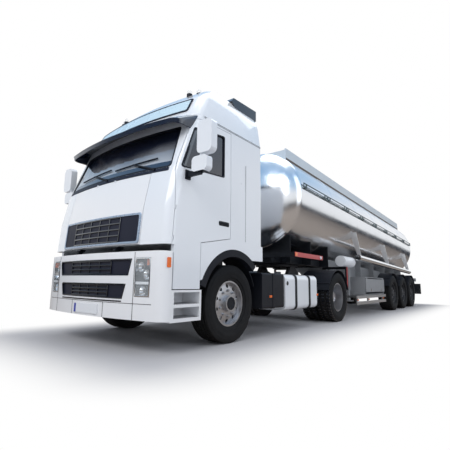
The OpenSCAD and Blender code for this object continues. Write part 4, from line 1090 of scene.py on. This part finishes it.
BEAD = 0.286            # where the tyres sit on their rims
STEER_X = 1.0395        # middle of the steered tyres
DRIVE_X = 0.913         # middle of a pair of drive tyres
TWIN = 0.1725           # half the distance between the two of a pair
TRAILER_X = 1.0525      # middle of the trailer's tyres
STEER_GROOVES = (0.62, 0.32, 0.0, -0.32, -0.62)
DRIVE_GROOVES = (0.42, -0.42)
for s, side in ((1, "left"), (-1, "right")):
    body = "front_wheel_" + side
    lo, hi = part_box("tyre_front_" + side)
    mid = (lo + hi) / 2
    tyre = Part("tyre_front_" + side + "_tread", "tyre_rubber", body, "tyre_rubber")
    tyre.lathe(tyre_section((hi.z - lo.z) / 2, hi.x - lo.x, BEAD, STEER_GROOVES), mid, (1, 0, 0), 96)
    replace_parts(tyre.place(0, 30), "tyre_front_" + side)
    soften("rim_front_" + side, "wheel_silver", 0.004, 38)
    disc_x = STEER_X + 0.088
    wheel_kit("front_" + side, body, s, mid.y, mid.z, disc_x, STEER_X + 0.150, 0.085, "wheel_silver",
              "black_plastic")
    body = "drive_wheels_" + side
    lo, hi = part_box("tyres_drive_" + side)
    mid = (lo + hi) / 2
    r = (hi.z - lo.z) / 2
    twins = Part("tyres_drive_" + side + "_tread", "tyre_rubber", body, "tyre_rubber")
    for x in (DRIVE_X - TWIN, DRIVE_X + TWIN):
        centre = Vector((s * x, mid.y, mid.z))
        twins.lathe(tyre_section(r - 0.001, 0.315, BEAD, DRIVE_GROOVES), centre, (1, 0, 0), 96)
    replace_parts(twins.place(0, 30), "tyres_drive_" + side)
    cuts = Part("tread_cuts_" + side, "gloss_black", body, "tyre_rubber")
    for x in (DRIVE_X - TWIN, DRIVE_X + TWIN):
        tread_cuts(cuts, (s * x, mid.y, mid.z), r, 0.1575, 48)
    cuts.place()
    soften("rims_drive_" + side, "wheel_silver", 0.004, 38)
    wheel_kit("drive_" + side, body, s, mid.y, mid.z, DRIVE_X + 0.014, DRIVE_X + 0.195, 0.11, "wheel_silver",
              "wheel_silver")
    for i in (1, 2, 3):
        node = f"trailer_wheel_{side}_{i}"
        lo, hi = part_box(node)
        mid = (lo + hi) / 2
        tyre = Part(node + "_tread", "tyre_rubber", node, "tyre_rubber")
        tyre.lathe(tyre_section((hi.z - lo.z) / 2, 0.385, BEAD, STEER_GROOVES), (s * TRAILER_X, mid.y, mid.z),
                   (1, 0, 0), 80)
        tyre.place(0, 30)
        rim = loose_copy(node, lambda reach: reach < 0.4, "wheel_dark", node + "_rim")
        open_round(rim, "x", mid, 0.052, 0.0015)
        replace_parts(rim, node)
        wheel_kit(node, node, s, mid.y, mid.z, TRAILER_X + 0.09, TRAILER_X + 0.152, 0.08, "wheel_silver",
                  "cast_metal")

# %% [markdown]
# ## The tank
# The tank slopes down to its outlet, so its pieces are placed in its own frame: Y along its axis from the
# front seam and Z up from the axis. Its skin is one turned, hollow shell with dished ends and low weld
# seams, and the manhole is cut through it.

# %% Tank
SLOPE = math.radians(1.8)
ALONG = Vector((0, math.cos(SLOPE), -math.sin(SLOPE)))      # the tank's axis, towards the rear
UPRIGHT = Vector((0, math.sin(SLOPE), math.cos(SLOPE)))     # square to it
TANK_R, TANK_END, TANK_L, TANK_WALL = 1.05, 0.40, 9.70, 0.006
TANK_Y, TANK_Z = 3.85, 2.52     # the front seam's middle
MANHOLE_Y = 4.5
MAT["tank_steel"] = finish("tank_steel", (0.84, 0.85, 0.87), rough=0.15, metal=1.0, mottled=0.16,
                           mottle_scale=1.2, dusty=0.0, streaky=7, rough_spread=0.16)
# A dark brown finish for the painted shadow line along the walkway coaming's foot.
MAT["tank_painted_shade"] = finish("tank_painted_shade", (0.10, 0.075, 0.06), rough=0.5, mottled=0.5, mottle_scale=3, dusty=0.0)


def in_tank(x, y, z):
    """A place given across, along and square to the tank's axis."""
    return Vector((x, back(TANK_Y), TANK_Z)) + ALONG * y + UPRIGHT * z


def tank_profile(inset):
    """(along, radius) from the front tip to the rear tip, at a depth under the skin."""
    r, d = TANK_R - inset, TANK_END - inset
    front_end = [(-d * math.cos(t), max(r * math.sin(t), 0.001))
                 for t in (math.pi / 2 * k / 24 for k in range(25))]
    rear_end = [(TANK_L - a, b) for a, b in reversed(front_end)]
    seam_points = []
    if inset == 0:
        for k in range(1, 6):
            y = TANK_L * k / 6
            seam_points += [(y - 0.016, r), (y - 0.008, r + 0.0025), (y + 0.008, r + 0.0025), (y + 0.016, r)]
    return front_end[:-1] + [(0.0, r), (0.02, r)] + seam_points + rear_end


shell = Part("tank_skin", "tank_steel", "trailer", "tank_steel")
outer_line = tank_profile(0.0)
inner_line = tank_profile(TANK_WALL)
shell.lathe(outer_line + list(reversed(inner_line)), in_tank(0, 0, 0), ALONG, 192)
tank_obj = shell.place(0, 8)
cutter_part = Part("cutter", "tank_steel", "trailer", "tank_steel")
cutter_part.disc(in_tank(0, MANHOLE_Y, 0.6), UPRIGHT, 0.25, 0.6, 64)
bmesh.ops.recalc_face_normals(cutter_part.bm, faces=cutter_part.bm.faces[:])
cutter = to_object("cutter", cutter_part.bm)
bpy.context.scene.collection.objects.link(cutter)
hole = tank_obj.modifiers.new("manhole", "BOOLEAN")
hole.object = cutter
hole.operation = "DIFFERENCE"
hole.solver = "EXACT"
bpy.context.view_layer.update()
cut_mesh = bpy.data.meshes.new_from_object(tank_obj.evaluated_get(bpy.context.evaluated_depsgraph_get()))
tank_obj.modifiers.clear()
tank_obj.data = cut_mesh
bpy.data.objects.remove(cutter)
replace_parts(tank_obj, "tank_barrel")
dress("tank_steel", "manhole_neck", "manhole_lid", "discharge_pipe")

# A dark strip along each foot of the walkway's coaming is a painted shadow and dark reflection where the
# coaming meets the tank.
foot_shade_strip = Part("coaming_foot_shade", "tank_painted_shade", "trailer", "pale_walkway")
for s in (-1, 1):
    foot_shade_strip.skin([[foot_shade_strip.bm.verts.new(in_tank(s * x, y, z)) for x, z in
                  ((0.631, 0.836), (0.631, 0.885), (0.637, 0.885), (0.637, 0.836))] for y in (0.07, 9.59)])
foot_shade_strip.place()
CLAMP_R, LID_TOP = 0.225, 1.148
clamps = Part("manhole_clamps", "bare_aluminium", "manhole_lid", "tank_steel")
for k in range(6):
    t = math.pi * (k + 0.5) / 3
    clamps.disc(in_tank(CLAMP_R * math.cos(t), MANHOLE_Y + CLAMP_R * math.sin(t), LID_TOP), UPRIGHT,
                0.022, 0.02, 6, 0.003)
clamps.disc(in_tank(0, MANHOLE_Y, LID_TOP), UPRIGHT, 0.09, 0.014, 32, 0.006)
clamps.place()
deck_bars = Part("walkway_tread", "pale_walkway", "trailer", "pale_walkway")
for k in range(95):
    y = 0.12 + k * 0.1
    if abs(y - MANHOLE_Y) < 0.35:
        continue
    deck_bars.skin([[deck_bars.bm.verts.new(in_tank(x, y + dy, z)) for dy, z in
                     ((0, 1.0665), (0.012, 1.0665), (0.012, 1.07), (0, 1.07))] for x in (-0.58, 0.58)])
deck_bars.place()
print("tank done:", len(tank_obj.data.polygons), "faces in its skin")

# %% [markdown]
# ## Trailer fittings
# Only the bars at the neck and the posts behind the drive wheels are red; the rest of the carrying frame
# is dark. Lamps, latches and ribs are separate pieces. The kingpin is drawn in a little for the same
# reason as the rims' holes were opened.

# %% Trailer
def tube_height(y):
    """Height of the hose tubes' axis, which slopes as the tank does."""
    return TANK_Z - (y - back(TANK_Y)) * math.tan(SLOPE) - 0.98


open_round(bpy.data.objects["coupling_frame_skin"], "z", Vector((0, back(4.60), 0)), 0.027, -0.0012)
repaint(bpy.data.objects["coupling_frame_skin"], "chassis_paint",
        lambda c: not (abs(c.x) > 0.86 and c.y < back(5.01)) and not (abs(c.x) > 0.95 and c.y > back(6.1)))
repaint(bpy.data.objects["hose_tubes_skin"], "white_plate",
        lambda c: back(5.98) < c.y < back(6.71) and c.z < 1.47 and 0.81 < abs(c.x) < 1.085)
repaint(bpy.data.objects["hose_tubes_skin"], "chrome",
        lambda c: abs(c.x) > 1.083 and math.hypot(abs(c.x) - 1.16, c.z - tube_height(c.y)) < 0.078)
ribs = Part("guard_ribs", "bare_aluminium", "trailer", "bare_aluminium")
for s in (-1, 1):
    for z in (0.30, 0.44):
        for k in range(4):
            h = z + 0.010 + k * 0.0165
            ribs.block(sorted((s * 1.2445, s * 1.2475)), (back(6.19), back(8.69)), (h, h + 0.006))
ribs.place()
latches = Part("cabinet_latches", "chrome", "cabinet_door", "bare_aluminium")
for y in (7.65, 8.60):
    latches.plate(panel(back(y), back(y + 0.06), 0.60, 0.68, 0.01), "x",
                  (1.139, 1.147))
latches.place(0.001)
tails = Part("tail_lamps", "red_lens", "trailer", "lamp_glass")
tails_amber = Part("tail_indicators", "amber", "trailer", "lamp_glass")
reflectors = Part("neck_markers", "amber", "trailer", "lamp_glass")
lamps_white = Part("neck_lamps", "white_plate", "trailer", "lamp_glass")
rear_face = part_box("rear_bumper")[1].y
for s in (-1, 1):
    for x, part in ((0.985, tails), (1.075, tails), (1.165, tails_amber)):
        part.plate(panel(s * x, s * (x + 0.07), 0.70, 0.82, 0.012), "y",
                   (rear_face, rear_face + 0.008))
    reflectors.block(sorted((s * 0.929, s * 0.938)), (back(3.71), back(3.80)), (1.30, 1.37))
    lamps_white.disc((s * 0.93, back(4.88), 1.335), (s, 0, 0), 0.032, 0.02, 24, 0.006)
for part in (tails, tails_amber, reflectors, lamps_white):
    part.place(0.001)

# %% [markdown]
# ## Seats
# Each cushion starts as a box whose faces are swelled towards their middles, then smoothed twice. A piped
# seam runs round its edge, and sewn channels are pressed into the front of the backrest.

# %% Seats
def pillow(name, lo, hi, axis, channels=0, crown=0.16):
    """A crowned, closed cushion in a box; axis is the thin direction."""
    bm = bmesh.new()
    bmesh.ops.create_cube(bm, size=2.0)
    bmesh.ops.subdivide_edges(bm, edges=bm.edges[:], cuts=9, use_grid_fill=True)
    others = [k for k in range(3) if k != axis]
    centre = [(a + b) / 2 for a, b in zip(lo, hi)]
    half = [(b - a) / 2 for a, b in zip(lo, hi)]
    for v in bm.verts:
        c = v.co.copy()
        u, w = c[others[0]], c[others[1]]
        pull = 1 - 0.06 * (1 - abs(c[axis])) - 0.05 * (u * u * w * w)
        swell = (1 - crown) + crown * (1 - u * u) * (1 - w * w)
        if channels:
            swell -= 0.05 * math.exp(-((((u + 1) * channels / 2) % 1.0 - 0.5) / 0.10) ** 2)
        co = [0.0, 0.0, 0.0]
        co[axis] = c[axis] * swell * half[axis]
        co[others[0]] = u * pull * half[others[0]]
        co[others[1]] = w * pull * half[others[1]]
        v.co = Vector(co) + Vector(centre)
    obj = settle(to_object(name, bm), "seat_fabric", "cab", subdivide=1)
    return obj


frames = Part("seat_frames", "slate_plastic", "cab", "black_plastic")
piping = Part("seat_piping", "black_plastic", "cab", "seat_fabric")
for s, side in ((1, "left"), (-1, "right")):
    x = s * 0.55
    frames.block((x - 0.165, x + 0.165), (back(1.0), back(1.375)), (1.242, 1.545))
    frames.block((x - 0.22, x + 0.22), (back(0.95), back(1.42)), (1.545, 1.563))
    pillow("cushion_" + side, (x - 0.25, back(0.91), 1.562), (x + 0.25, back(1.40), 1.69), 2, 3)
    pillow("backrest_" + side, (x - 0.24, back(1.395), 1.66), (x + 0.24, back(1.538), 2.16), 1, 3)
    pillow("headrest_" + side, (x - 0.13, back(1.41), 2.17), (x + 0.13, back(1.52), 2.298), 1, 0, 0.2)
    loop = panel(x - 0.235, x + 0.235, 0.925, 1.385, 0.05)
    piping.tube([(a, back(b), 1.626) for a, b in loop], 0.006, 6, loop=True)
seat_base = frames.place(0.01)
piping.place()
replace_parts(seat_base, "seats")
